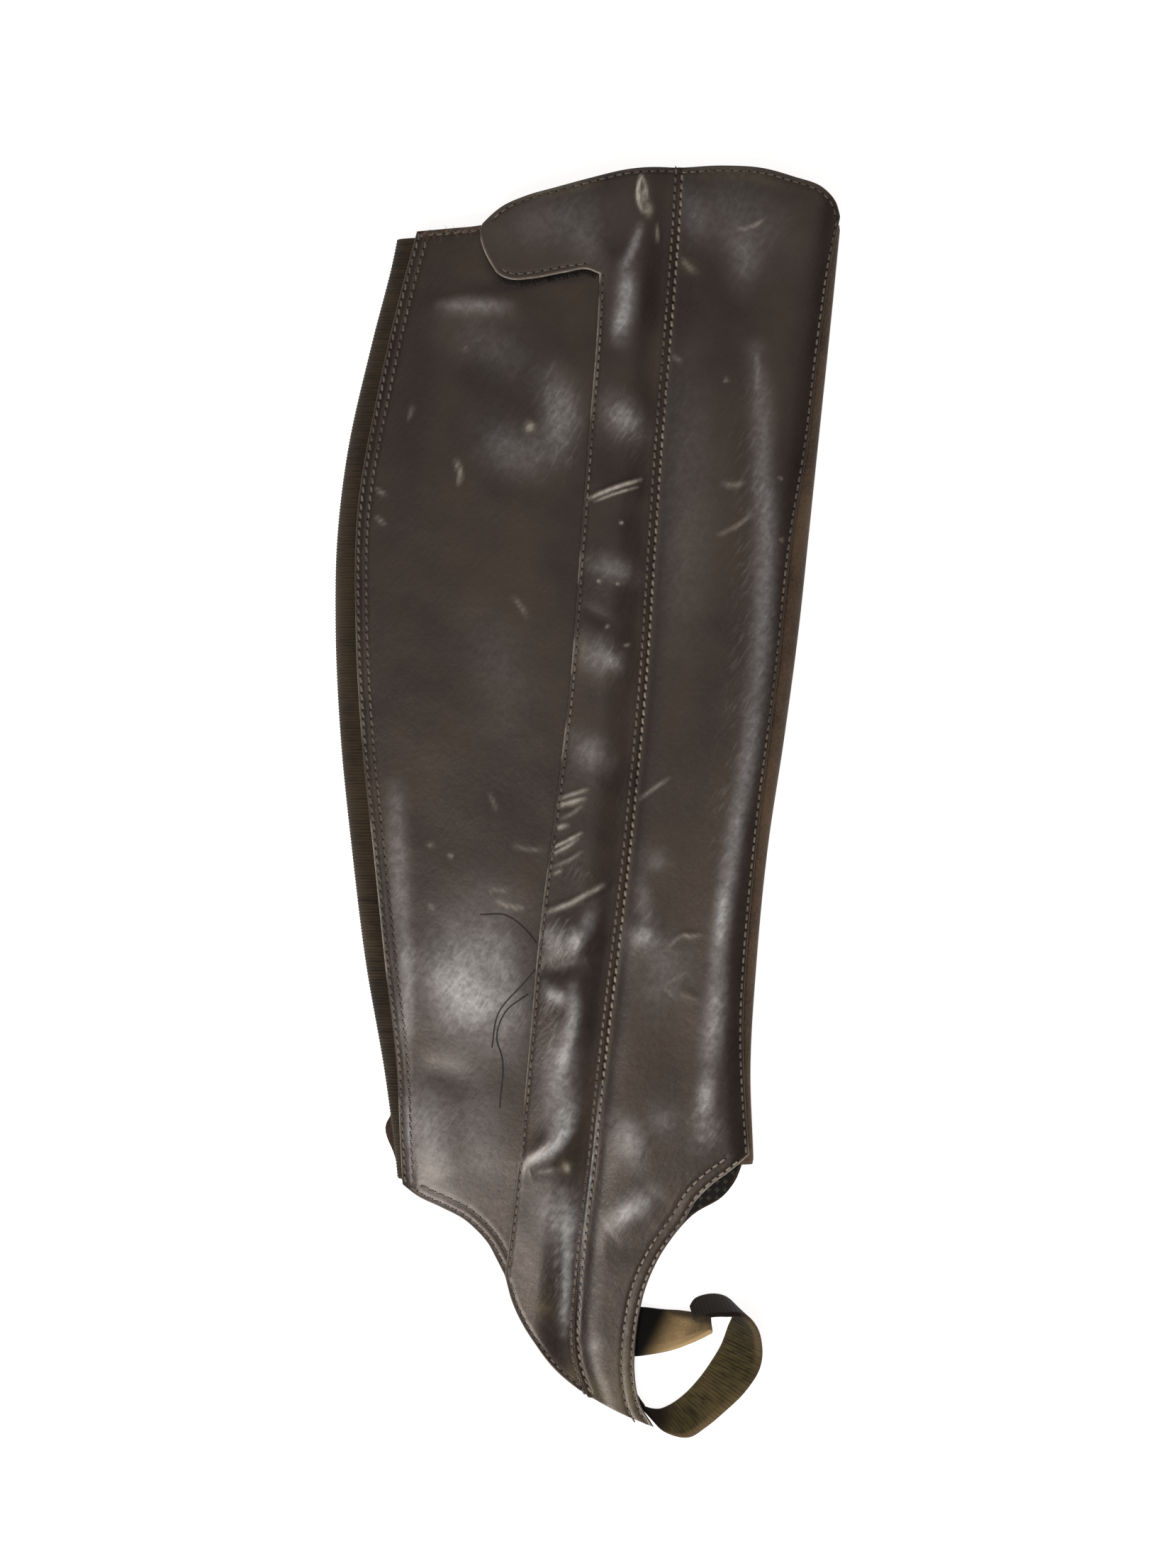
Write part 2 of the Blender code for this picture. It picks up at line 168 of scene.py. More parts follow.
def connect(tree, shader, colour=None, rough=None, height=None):
    """Feed a shader its colour, its roughness and a height in millimetres as bump."""
    if colour is not None:
        tree.links.new(next(s for s in colour.outputs if s.enabled), shader.inputs["Base Color"])
    if rough is not None:
        tree.links.new(rough.outputs[0], shader.inputs["Roughness"])
    if height is not None:
        bump = add(tree, "Bump", {"Height": height, "Strength": 1.0, "Distance": 0.001})
        tree.links.new(bump.outputs[0], shader.inputs["Normal"])


def both_of(tree, first, second, low, high):
    """Sum of two patterns, spread so that low to high becomes 0 to 1."""
    total = add(tree, "Math", {0: first, 1: second}, operation="ADD")
    return add(tree, "MapRange", {"Value": total, "From Min": low, "From Max": high})


def stained(tree, colour, marks):
    """Colour with a tint laid over it wherever the sheet carries the mark."""
    for mark, tint in marks:
        strength = add(tree, "Attribute", attribute_name=mark).outputs["Fac"]
        colour = add(tree, "Mix", {"Factor": strength, "A": colour, "B": linear(tint)},
                     data_type="RGBA")
    return colour


print("mid brown is", [round(c, 3) for c in linear("#3c322d")[:3]])

# %% [markdown]
# ## Polished leather
# The panels are full-grain cowhide, drum dyed brown-black and polished, 1.8 mm thick. Such leather
# has an uneven dye, a fine pebbled grain of about 1 mm, and a wax bloom that years of rubbing
# bring up in clouds. Each sheet carries numbers on its points: `rub` where it is
# burnished and where a painted highlight lies on clouds and ridges, `hatch` where it has
# broken into fine slanted wrinkles that carry painted glints, `plum` for the painted
# reddish shade in hollows, creases and under the tab, `dust` where dry mud sits, `scuff` where it is
# scratched through to paler fibres, and `edge` near a cut edge. The grain is drawn a little coarser
# than real, at 1.4 mm, because 1 mm is hardly a pixel in the picture.

# %% Leather
GRAIN = 1.4
WRINKLE = 1.3
WRINKLE_ANGLE = math.radians(-32)
WRINKLE_STRETCH = 5.0


def leather(name, dark, light, gloss):
    made, tree, shader, place = blank(name, {"IOR": 1.5, "Coat Weight": gloss, "Coat Roughness": 0.25,
                                             "Specular Tint": linear("#ffece0")})
    rub, hatch, plum, edge, dust, scuff = [
        add(tree, "Attribute", attribute_name=mark).outputs["Fac"]
        for mark in ("rub", "hatch", "plum", "edge", "dust", "scuff")]
    clouds = add(tree, "TexNoise", {"Vector": place, "Scale": per(30), "Detail": 5.0})
    spread = add(tree, "MapRange", {"Value": clouds, "From Min": 0.36, "From Max": 0.64})
    base = add(tree, "Mix", {"Factor": spread, "A": linear(dark), "B": linear(light)}, data_type="RGBA")
    fine = add(tree, "TexNoise", {"Vector": place, "Scale": per(2.6), "Detail": 6.0, "Roughness": 0.65})
    mottle = add(tree, "MapRange", {"Value": fine, "From Min": 0.38, "From Max": 0.62})
    tilted = add(tree, "Mapping", {"Vector": place, "Rotation": (0.0, 0.0, WRINKLE_ANGLE),
                                   "Scale": (1.0, WRINKLE_STRETCH, 1.0)}, vector_type="TEXTURE")
    crinkle = add(tree, "TexNoise", {"Vector": tilted, "Scale": per(WRINKLE), "Detail": 3.5,
                                     "Distortion": 0.5})
    streaks = add(tree, "MapRange", {"Value": crinkle, "From Min": 0.52, "From Max": 0.72, "To Max": 0.6})
    patchy = add(tree, "MapRange", {"Value": mottle, "To Min": 0.55, "To Max": 1.0})
    patchy = add(tree, "Math", {0: streaks, 1: 0.6, 2: patchy}, operation="MULTIPLY_ADD")
    # The burnish mark is wear together with a painted highlight in near-white on bright clouds and ridges.
    # The fine wrinkles are bump, and their pale grey streaks are painted glints.
    # The plum mark is painted shade in near-black plum, in hollows, creases and under the tab.
    worn = [(plum, None, "#180f0f"), (dust, patchy, "#5f563e"), (rub, patchy, "#dadada"),
            (hatch, streaks, "#a9a7a4"), (edge, patchy, "#b3a89c"), (scuff, patchy, "#d8d0c4")]
    for mark, broken, colour in worn:
        if broken:
            mark = add(tree, "Math", {0: mark, 1: broken}, operation="MULTIPLY", use_clamp=True)
        base = add(tree, "Mix", {"Factor": mark, "A": base, "B": linear(colour)}, data_type="RGBA")
    shine = add(tree, "Math", {0: rub, 1: -0.08, 2: 0.32}, operation="MULTIPLY_ADD")
    rough = add(tree, "Math", {0: mottle, 1: 0.10, 2: shine}, operation="MULTIPLY_ADD")
    grain = add(tree, "TexVoronoi", {"Vector": place, "Scale": per(GRAIN)}, feature="SMOOTH_F1")
    loose = add(tree, "Math", {0: hatch, 1: 0.45, 2: 0.09}, operation="MULTIPLY_ADD")
    crinkle = add(tree, "Math", {0: crinkle, 1: loose}, operation="MULTIPLY")
    dents = add(tree, "TexNoise", {"Vector": place, "Scale": per(9.0), "Detail": 3.0})
    height = add(tree, "Math", {0: dents, 1: 0.12, 2: crinkle}, operation="MULTIPLY_ADD")
    height = add(tree, "Math", {0: fine, 1: 0.09, 2: height}, operation="MULTIPLY_ADD")
    height = add(tree, "Math", {0: grain, 1: -0.028, 2: height}, operation="MULTIPLY_ADD")
    connect(tree, shader, base, rough, height)
    return made


panel_leather = leather("polished_brown_black_leather", "#1d1410", "#382c23", 0.25)
cover_leather = leather("polished_cover_leather", "#1e1612", "#3a2e27", 0.30)
print("leathers:", panel_leather.name, cover_leather.name)

# %% [markdown]
# Where leather is cut, its undyed core shows: tan-brown fibres packed like felt, dirty with wax.

# %% Cut edges


def felted(name, dark, light, nap, sheen):
    """Fibres that stand up a little, in two tones, with `pale` and painted shade where a sheet has them.
    """
    made, tree, shader, place = blank(name, {"Sheen Weight": sheen, "Sheen Roughness": 0.5,
                                             "Specular IOR Level": 0.2})
    tufts = add(tree, "TexNoise", {"Vector": place, "Scale": per(nap), "Detail": 6.0, "Roughness": 0.7})
    stains = add(tree, "TexNoise", {"Vector": place, "Scale": per(16 * nap), "Detail": 2.0})
    both = both_of(tree, tufts, stains, 0.75, 1.25)
    colour = add(tree, "Mix", {"Factor": both, "A": linear(dark), "B": linear(light)}, data_type="RGBA")
    # The dark tint is painted shade, laid where the sheet carries it.
    colour = stained(tree, colour, (("pale", "#c9ab7c"), ("dark_painted_shade", "#0b0906")))
    rough = add(tree, "MapRange", {"Value": tufts, "To Min": 0.85, "To Max": 0.98})
    height = add(tree, "Math", {0: tufts, 1: 0.25}, operation="MULTIPLY")
    connect(tree, shader, colour, rough, height)
    return made


cut_leather = felted("cut_leather_edge", "#241b16", "#57463a", 0.9, 0.05)
brown_suede = felted("brown_suede", "#3a2b20", "#65503d", 1.2, 0.15)
tan_suede = felted("tan_suede", "#332a1b", "#6b5c40", 1.3, 0.1)
tan_edge = felted("tan_suede_edge", "#8f744e", "#c9ab7c", 0.9, 0.1)
hook_pile = felted("hook_and_loop_pile", "#141210", "#2c2825", 0.8, 0.3)
lint = felted("grey_lint", "#100e0d", "#35302c", 0.8, 0.1)

# %% [markdown]
# ## Woven things
# The gusset is a wide elastic with a rib across it for each rubber thread, about 1.1 mm apart.
# The zip tape and the stirrup strap are webbing, and the lining is a black mesh with small pale
# crosses. Their threads run along the piece, so the sheets carry `across` and `along` in
# millimetres, and the patterns are sines of those.

# %% Ribbed and woven finishes
RIB = 1.1
STRAP_RIB = 1.3
TAPE_THREAD = 0.9
CROSS = 3.0


def ribbed(name, dark, light, pitch, depth, streak, sheen):
    """Ribs across a band: each has its own tone, with streaks of wear, `pale` rims and painted shade."""
    made, tree, shader, place = blank(name, {"Sheen Weight": sheen, "Sheen Roughness": 0.6,
                                             "Specular IOR Level": 0.2})
    along = add(tree, "Attribute", attribute_name="along").outputs["Fac"]
    across = add(tree, "Attribute", attribute_name="across").outputs["Fac"]
    turn = add(tree, "Math", {0: along, 1: 2 * math.pi / pitch}, operation="MULTIPLY")
    wave = add(tree, "Math", {0: turn}, operation="COSINE")
    rib = add(tree, "MapRange", {"Value": wave, "From Min": -1.0, "From Max": 1.0})
    steps = add(tree, "Math", {0: along, 1: 1.0 / pitch}, operation="MULTIPLY")
    run_on = add(tree, "Math", {0: across, 1: 1.0 / streak}, operation="MULTIPLY")
    lane = add(tree, "CombineXYZ", {0: run_on, 1: steps})
    tone = add(tree, "TexNoise", {"Vector": lane, "Scale": 1.0, "Detail": 3.0, "Roughness": 0.6})
    worn = add(tree, "TexNoise", {"Vector": place, "Scale": per(22.0), "Detail": 3.0})
    both = both_of(tree, tone, worn, 0.78, 1.22)
    lit = add(tree, "Math", {0: rib, 1: 0.35, 2: both}, operation="MULTIPLY_ADD", use_clamp=True)
    colour = add(tree, "Mix", {"Factor": lit, "A": linear(dark), "B": linear(light)}, data_type="RGBA")
    # The dark tint is painted shade, laid where the sheet carries it.
    colour = stained(tree, colour, (("pale", "#8d775a"), ("dark_painted_shade", "#1a110a")))
    fuzz = add(tree, "TexNoise", {"Vector": place, "Scale": per(0.8), "Detail": 4.0})
    height = add(tree, "Math", {0: rib, 1: depth}, operation="MULTIPLY")
    height = add(tree, "Math", {0: fuzz, 1: 0.08, 2: height}, operation="MULTIPLY_ADD")
    rough = add(tree, "MapRange", {"Value": fuzz, "To Min": 0.75, "To Max": 0.95})
    connect(tree, shader, colour, rough, height)
    return made


def crossed_mesh(name):
    """Black knit with a pale cross every few millimetres, both drawn darker as painted shade."""
    made, tree, shader, place = blank(name, {"Roughness": 0.9})
    apart = add(tree, "SeparateXYZ", {0: place})
    arms = []
    for axis in (0, 1):
        cell = add(tree, "Math", {0: apart.outputs[axis], 1: per(CROSS)}, operation="MULTIPLY")
        cell = add(tree, "Math", {0: cell}, operation="FRACT")
        cell = add(tree, "Math", {0: cell, 1: 0.5}, operation="SUBTRACT")
        arms.append(add(tree, "Math", {0: cell}, operation="ABSOLUTE"))
    bars = []
    for thin, long in (arms, arms[::-1]):
        narrow = add(tree, "Math", {0: thin, 1: 0.09}, operation="LESS_THAN")
        short = add(tree, "Math", {0: long, 1: 0.3}, operation="LESS_THAN")
        bars.append(add(tree, "Math", {0: narrow, 1: short}, operation="MULTIPLY"))
    cross = add(tree, "Math", {0: bars[0], 1: bars[1]}, operation="MAXIMUM")
    # Both colours are darkened as painted shade for the lining's place inside the tube.
    colour = add(tree, "Mix", {"Factor": cross, "A": linear("#12120e"), "B": linear("#3f3c30")},
                 data_type="RGBA")
    knit = add(tree, "TexVoronoi", {"Vector": place, "Scale": per(1.0)})
    height = add(tree, "Math", {0: knit, 1: 0.15}, operation="MULTIPLY")
    connect(tree, shader, colour, None, height)
    return made


elastic = ribbed("ribbed_elastic", "#1b130b", "#3f3120", RIB, 0.10, 9.0, 0.1)
webbing = ribbed("olive_webbing", "#262010", "#5c5030", STRAP_RIB, 0.14, 6.0, 0.05)
zip_weave = ribbed("woven_zip_tape", "#16130f", "#2d2823", TAPE_THREAD, 0.10, 2.0, 0.2)
mesh_lining = crossed_mesh("mesh_lining")
print("woven:", elastic.name, webbing.name, zip_weave.name, mesh_lining.name)

# %% [markdown]
# ## Thread and moulded teeth
# The seams are sewn with a waxed grey-beige thread, twisted from three yarns. The zip's teeth are
# moulded acetal, dark brown, satin from the mould.

# %% Thread, needle holes and teeth


def thread(name, dark, light):
    made, tree, shader, place = blank(name, {"Coat Weight": 0.15, "Sheen Weight": 0.2})
    twist = add(tree, "TexNoise", {"Vector": place, "Scale": per(1.0), "Detail": 3.0})
    dark_painted_shade = add(tree, "TexNoise", {"Vector": place, "Scale": per(24.0), "Detail": 2.0})
    both = both_of(tree, twist, dark_painted_shade, 0.8, 1.2)
    colour = add(tree, "Mix", {"Factor": both, "A": linear(dark), "B": linear(light)}, data_type="RGBA")
    rough = add(tree, "MapRange", {"Value": twist, "To Min": 0.5, "To Max": 0.75})
    height = add(tree, "Math", {0: twist, 1: 0.1}, operation="MULTIPLY")
    connect(tree, shader, colour, rough, height)
    return made


beige_thread = thread("waxed_beige_thread", "#5f544b", "#a89a8c")
brown_thread = thread("waxed_brown_thread", "#40362f", "#83766a")
dark_thread = thread("loose_dark_thread", "#171412", "#2b2624")
frayed_thread = thread("frayed_tan_thread", "#6f5547", "#b8937c")
# Needle holes are near-black discs: painted shade for the depth of each hole.
needle_hole_painted_shade = felted("needle_hole_painted_shade", "#0d0a09", "#1c1614", 0.8, 0.0)
acetal = thread("moulded_acetal", "#1f1a17", "#3a332e")
floor_paint = felted("white_light_table", "#f1f0ee", "#f6f5f3", 40.0, 0.0)
glow = floor_paint.node_tree.nodes["Principled BSDF"].inputs
glow["Emission Color"].default_value = linear("#ffffff")
glow["Emission Strength"].default_value = TABLE_GLOW
floor.data.materials.append(floor_paint)

# %% [markdown]
# ## The form that all sheets share
# The chap is filled out to a thin cushion: it has a fold on both sides and a height that the table
# gives for each place up the leg. Every sheet lies on this form or a known step under it, and these
# functions are the ones that shaped the solids, so a fine sheet stays where its solid is. Sizes are
# in millimetres until a mesh is written.

# %% Form
CENTRE = np.array([-0.32, 0.08, 0.0])
LEATHER = 1.8
SUEDE = 1.4
ELASTIC = 1.0
LINING = 0.8
TAPE = 1.0
WEBBING = 1.8
GAP = 0.3
LAP = LEATHER + GAP
SEAM_GAP = 0.06
FOLD_SHARE = 1.0 / 3.0
SIDE_SHARE = 0.93
UNDER_SHARE = 0.32
GUSSET_TURN_SHARE = 0.21
CROWN = 1.0
# Height up the leg, left fold, right fold, thickness
FORM = (
    (228, -65, 92.5, 12.5),
    (196, -70.4, 89.4, 13.5),
    (166, -78, 86.4, 14.5),
    (125, -87.1, 82.1, 15.5),
    (95, -90.6, 79, 16),
    (64, -91.2, 75.7, 16),
    (24, -89.4, 70.4, 15.6),
    (-17, -85.3, 64.3, 15),
    (-57, -80.4, 60.4, 14.2),
    (-98, -73.4, 58.2, 13.2),
    (-126, -69.8, 59.2, 12.5),
    (-145, -68, 59.8, 11.2),
    (-170, -66, 60, 10),
    (-200, -64, 60, 9),
    (-232, -62, 60, 8.6),
)


def smooth(knots, values, at):
    """Cubic curve through the values, with slopes from their neighbours."""
    knots = np.asarray(knots, float)
    values = np.asarray(values, float)
    slopes = np.gradient(values, knots)
    i = np.clip(np.searchsorted(knots, at) - 1, 0, len(knots) - 2)
    step = knots[i + 1] - knots[i]
    t = (at - knots[i]) / step
    start = (2 * t - 3) * t * t + 1
    leave = ((t - 2) * t + 1) * t * step
    arrive = (t - 1) * t * t * step
    return start * values[i] + (1 - start) * values[i + 1] + leave * slopes[i] + arrive * slopes[i + 1]


def form_at(up):
    """Left fold, right fold and thickness of the form at a height up the leg."""
    table = np.array(FORM)[::-1]
    return [smooth(table[:, 0], table[:, column], up) for column in (1, 2, 3)]


def leather_height(across, up):
    """Height of the leather's outer face; its form reaches one lap past both folds."""
    left, right, high = form_at(up)
    left = left - LAP
    right = right + LAP
    side = SIDE_SHARE * high
    low = FOLD_SHARE * high
    roll = 1.0
    for inset in (across - left, right - across):
        share = np.clip(inset / side, 0.0, 1.0)
        roll = roll * np.sqrt(1.0 - (1.0 - share) ** 2)
    middle = (left + right) / 2
    bulge = CROWN * (1.0 - ((across - middle) / (right - middle)) ** 2)
    return low + (high - low - CROWN) * roll + bulge


def ease(share):
    """Soft step from 0 to 1."""
    t = np.clip(share, 0.0, 1.0)
    return t * t * (3 - 2 * t)


print("thickness at the calf, mm:", round(float(form_at(64.0)[2]), 1))

# %% [markdown]
# ## Grids between cut edges
# A flat pattern piece is bounded by cut edges, so each sheet starts as a grid of points between
# four curves. The columns are close together near an edge, where stitches need grooves, and
# wider apart inside. That gives detail where it shows at half the faces of an even grid.

# %% Grids


def lengths(points):
    """Share of the curve's length at each of its points."""
    steps = np.linalg.norm(np.diff(points, axis=0), axis=1)
    total = np.concatenate(([0.0], np.cumsum(steps)))
    return total / total[-1]


def run(points, shares):
    """Smooth curve through the points, read at shares of its length."""
    points = np.asarray(points, float)
    knots = lengths(points)
    columns = [smooth(knots, points[:, k], np.asarray(shares)) for k in range(points.shape[1])]
    return np.stack(columns, axis=1)


def even(count):
    return np.linspace(0.0, 1.0, count + 1)


def patch(left, right, bottom, top):
    """Grid of points between four cut edges that share their corners."""
    u = ((lengths(bottom) + lengths(top)) / 2)[:, None, None]
    v = ((lengths(left) + lengths(right)) / 2)[None, :, None]
    across = (1 - u) * left[None] + u * right[None]
    upward = (1 - v) * bottom[:, None] + v * top[:, None]
    corners = ((1 - u) * (1 - v) * left[0] + u * (1 - v) * right[0]
               + (1 - u) * v * left[-1] + u * v * right[-1])
    return across + upward - corners


def near(path, across, up):
    """Distance to a curve, and the share of its length at the nearest place."""
    path = np.asarray(path, float)
    marks = lengths(path)
    best = np.full(np.shape(across), 1e9)
    share = np.zeros(np.shape(across))
    for a, b, mark_a, mark_b in zip(path, path[1:], marks, marks[1:]):
        step = b - a
        t = np.clip(((across - a[0]) * step[0] + (up - a[1]) * step[1]) / (step @ step), 0.0, 1.0)
        away = np.hypot(across - a[0] - t * step[0], up - a[1] - t * step[1])
        closer = away < best
        best = np.where(closer, away, best)
        share = np.where(closer, mark_a + t * (mark_b - mark_a), share)
    return best, share


def inset(points, distance, count):
    """Curve beside another, moved to its left-hand side."""
    line = run(points, even(count))
    slope = np.gradient(line, axis=0)
    slope /= np.linalg.norm(slope, axis=1)[:, None]
    return line + distance * np.stack([-slope[:, 1], slope[:, 0]], axis=1)


# %% [markdown]
# A sheet is made from its grids of outer points. The points are welded, then copied one thickness
# further in along their normals, and the two faces are closed by a rim. A cut edge is never sharp:
# wax and wear round it, so the points within `round_edge` of the rim sink along a quarter circle.
# Blender's Solidify and Bevel could do this too, but Bevel trips over the fine columns at the edge.

# %% Sheets from grids
WELD = 1e-6
EDGE_STOPS = (0.0, 0.05, 0.16, 0.3, 0.5)
EDGE_WEAR = 0.5


def metres(points):
    """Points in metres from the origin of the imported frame, for a mesh."""
    return (points - CENTRE) / 1000


def formed(name, points, faces, finishes, kinds=None, flat_faces=False):
    """New piece from points in metres; kinds tells which finish each face takes."""
    mesh = bpy.data.meshes.new(name)
    mesh.from_pydata(points.tolist(), [], faces)
    for finish in finishes:
        mesh.materials.append(finish)
    if kinds:
        mesh.polygons.foreach_set("material_index", kinds)
    if not flat_faces:
        mesh.shade_smooth()
    return put(name, mesh)


def ramped(width, fine, coarse, left_band, right_band):
    """Shares of a width with stops for a round edge, fine steps in a band and coarse steps between."""
    last = EDGE_STOPS[-1]
    stops = [last, left_band, width - right_band, width - last]
    steps = (fine, coarse, fine)
    counts = [max(1, round((b - a) / step)) for a, b, step in zip(stops, stops[1:], steps)]
    bands = [np.linspace(a, b, n, endpoint=False) for a, b, n in zip(stops, stops[1:], counts)]
    return np.concatenate([EDGE_STOPS[:-1], *bands, width - np.array(EDGE_STOPS[::-1])]) / width


def welded(name, grids, marks, faces_down):
    """One open surface from grids, in metres: its points, its outward normals, its quads and its marks."""
    verts, faces, start = [], [], 0
    for grid in grids:
        rows, columns = grid.shape[:2]
        ids = start + np.arange(rows * columns).reshape(rows, columns)
        quads = np.stack([ids[:-1, :-1], ids[1:, :-1], ids[1:, 1:], ids[:-1, 1:]], axis=-1).reshape(-1, 4)
        faces.append(quads[:, ::-1] if faces_down else quads)
        verts.append(grid.reshape(-1, 3))
        start += rows * columns
    mesh = bpy.data.meshes.new(name)
    mesh.from_pydata(metres(np.concatenate(verts)).tolist(), [], np.concatenate(faces).tolist())
    for mark, values in marks.items():
        layer = mesh.attributes.new(mark, "FLOAT", "POINT")
        flat = np.concatenate([np.asarray(v, float).ravel() for v in values])
        layer.data.foreach_set("value", flat.astype(np.float32))
    build = bmesh.new()
    build.from_mesh(mesh)
    bmesh.ops.remove_doubles(build, verts=build.verts, dist=WELD)
    build.to_mesh(mesh)
    build.free()
    points, normals = np.zeros(3 * len(mesh.vertices)), np.zeros(3 * len(mesh.vertices))
    mesh.vertices.foreach_get("co", points)
    mesh.vertex_normals.foreach_get("vector", normals)
    quads = np.zeros(len(mesh.loops), int)
    mesh.loops.foreach_get("vertex_index", quads)
    kept = {}
    for mark in marks:
        values = np.zeros(len(mesh.vertices), np.float32)
        mesh.attributes[mark].data.foreach_get("value", values)
        kept[mark] = values
    bpy.data.meshes.remove(mesh)
    return points.reshape(-1, 3), normals.reshape(-1, 3), quads.reshape(-1, 4), kept


def rim_of(quads):
    """Edges that only one face has, in the face's own direction."""
    edges = np.concatenate([quads[:, [k, (k + 1) % 4]] for k in range(4)])
    _, first, count = np.unique(np.sort(edges, axis=1), axis=0, return_index=True, return_counts=True)
    return edges[first[count == 1]]


def sheet(name, grids, thickness, finishes, marks=None, faces_down=False, centred=False, round_edge=0.4):
    """Closed sheet of cloth; its finishes are those of its face, and of its rim and back."""
    points, normals, quads, kept = welded(name, grids, marks or {}, faces_down)
    rim = rim_of(quads)
    tree = KDTree(len(rim))
    for number, vertex in enumerate(rim[:, 0]):
        tree.insert(points[vertex], number)
    tree.balance()
    away = np.array([tree.find(point)[2] for point in points]) * 1000
    short = np.clip(round_edge - away, 0.0, round_edge)
    drop = round_edge - np.sqrt(round_edge ** 2 - short ** 2)
    drop *= 1.0 - kept.pop("flush", 0.0)
    above = thickness / 2 if centred else 0.0
    face = points + normals * ((above - drop) / 1000)[:, None]
    back = points + normals * ((above - thickness + drop) / 1000)[:, None]
    count = len(points)
    closing = np.column_stack([rim[:, 1], rim[:, 0], rim[:, 0] + count, rim[:, 1] + count])
    faces = np.concatenate([quads, quads[:, ::-1] + count, closing])
    kinds = [0] * len(quads) + [len(finishes) - 1] * (len(quads) + len(rim))
    piece = formed(name, np.concatenate([face, back]), faces.tolist(), finishes, kinds)
    if "worn" in kept:
        kept["edge"] = kept.pop("worn") * np.exp(-(away / EDGE_WEAR) ** 2)
    for mark, values in kept.items():
        layer = piece.data.attributes.new(mark, "FLOAT", "POINT")
        layer.data.foreach_set("value", np.tile(values, 2).astype(np.float32))
    return piece


def belongs(piece, slot=None, *nodes):
    """The chap has no joint, so every piece rides on its one body."""
    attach(piece, "root")
    if nodes:
        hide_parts(*nodes)


def lift(grid, height):
    """Give a flat grid its height from a function of its place."""
    return np.dstack([grid, height(grid[..., 0], grid[..., 1])])


# %% [markdown]
# ## Cut edges of the leather
# These are the outlines of the pattern pieces as they lie, from the foot to the top.

# %% Outlines
BACK_EDGE = (
    (-67.1, -136.9), (-68, -118), (-68.7, -98), (-73.1, -57.7), (-77.3, -17),
    (-81.5, 23.6), (-83.6, 64), (-82.9, 105), (-76, 145.5), (-68.1, 181), (-61.7, 205),
)
BACK_HEEL = (
    (-67.1, -136.9), (-61.5, -141), (-53.1, -145), (-44.5, -149.6), (-40.4, -153.2),
    (-36.1, -158.2), (-33, -164), (-29, -172), (-25, -180), (-20, -189),
)
BACK_TOP = ((-61.7, 205), (-50, 206), (-38.6, 207.2), (-20, 213.8), (0, 220.5), (16.5, 224.5))
COVER_EDGE = (
    (-30.2, -169.2), (-26.2, -136.9), (-22.1, -94.7), (-17.3, -42.4), (-11.2, 4.8), (-6.6, 45),
    (-3.3, 89.7), (-0.2, 130.3), (3, 171), (3.8, 189.2),
)
COVER_FOOT = (
    (-30.2, -169.2), (-27.4, -179.3), (-23.4, -187.7), (-19.1, -194.3), (-13.2, -201.9),
    (-5.6, -209), (-0.4, -212.8),
)
CENTRE_SEAM = (
    (-0.4, -212.8), (-4.3, -201.2), (-5.3, -188.5), (-4.3, -175.8), (-2.3, -154.7), (0.3, -133.9),
    (4.2, -96), (7.1, -70.9), (10.2, -45.7), (15.2, 0), (19.3, 45), (22.9, 100),
    (25.1, 131.8), (26.7, 151.4), (29.5, 186), (31, 206), (32.3, 227.8),
)
TAB_UNDERSIDE = (
    (-34.8, 192.3), (-32.9, 189.6), (-30.5, 188), (-28, 187.2), (-20.3, 187.5), (-8.4, 189.7),
    (-0.5, 190.8), (3.8, 189.2),
)
TAB_END = ((-34.8, 192.3), (-37.3, 197.1), (-38.9, 203.7), (-38.1, 207.3))
TAB_TOP = (
    (-38.1, 207.3), (-35.3, 210.1), (-31.2, 213.4), (-22.9, 217.2), (-11.4, 220.5), (0.8, 223.8),
    (14.5, 227.1), (24, 227.9), (32.3, 227.8),
)
FRONT_TOP = (
    (32.3, 227.8), (48.8, 228.6), (62, 227.8), (73.2, 224.8), (84.1, 220.7), (88.6, 216),
    (90.4, 210.6),
)
SHIN_SEAM = (
    (57.6, -126.2), (55.9, -100.3), (55.4, -79.2), (56.4, -58.2), (60.7, -10.4), (67.6, 45),
    (73.7, 100), (78, 125.2), (83.3, 168.7), (87.9, 198.9), (90.4, 210.6),
)
ARCH = (
    (23.4, -224.2), (18.8, -217.2), (16.3, -204.5), (16.8, -192.8), (20.6, -173.2), (24.6, -164.1),
    (34.8, -148.8), (38.1, -143), (44.2, -136.7), (50.8, -131.8), (57.6, -126.2),
)
TIP = ((-0.4, -212.8), (8.6, -217.9), (17, -221.7), (23.4, -224.2))
GUSSET_FOOT = -135.0
GUSSET_TOP = 203.0


def seam_at(up):
    seam = np.array(CENTRE_SEAM)
    return smooth(seam[:, 1], seam[:, 0], up)


# %% [markdown]
# ## Creases and rubbed places
# Worn leather keeps the folds that the leg gave it. Each one is given as a short curve with
# a width and a height: a ridge when the height is positive, a trough when it is negative. The same
# curves with a strength make the rubbed places with their painted highlights, the painted shade in
# hollows and creases, and the scratched places. A tapered bell shape across the curve keeps them soft.

# %% Soft lines
RIM_WEAR = 0.12
GROOVE_WIDTH = 0.8


def soft(lines, across, up):
    """Sum of soft lines; each is its half width in millimetres, its height and its points."""
    total = np.zeros(np.shape(across))
    for width, height, *points in lines:
        away, share = near(run(points, even(10)), across, up)
        taper = np.sqrt(np.sin(np.pi * np.clip(share, 0.03, 0.97)))
        total += height * np.exp(-(away / width) ** 2) * taper
    return total


def marked(grids, **tables):
    """Marks for every point of the grids, each from its table of soft lines."""
    return {mark: [soft(table, grid[..., 0], grid[..., 1]) for grid in grids]
            for mark, table in tables.items()}


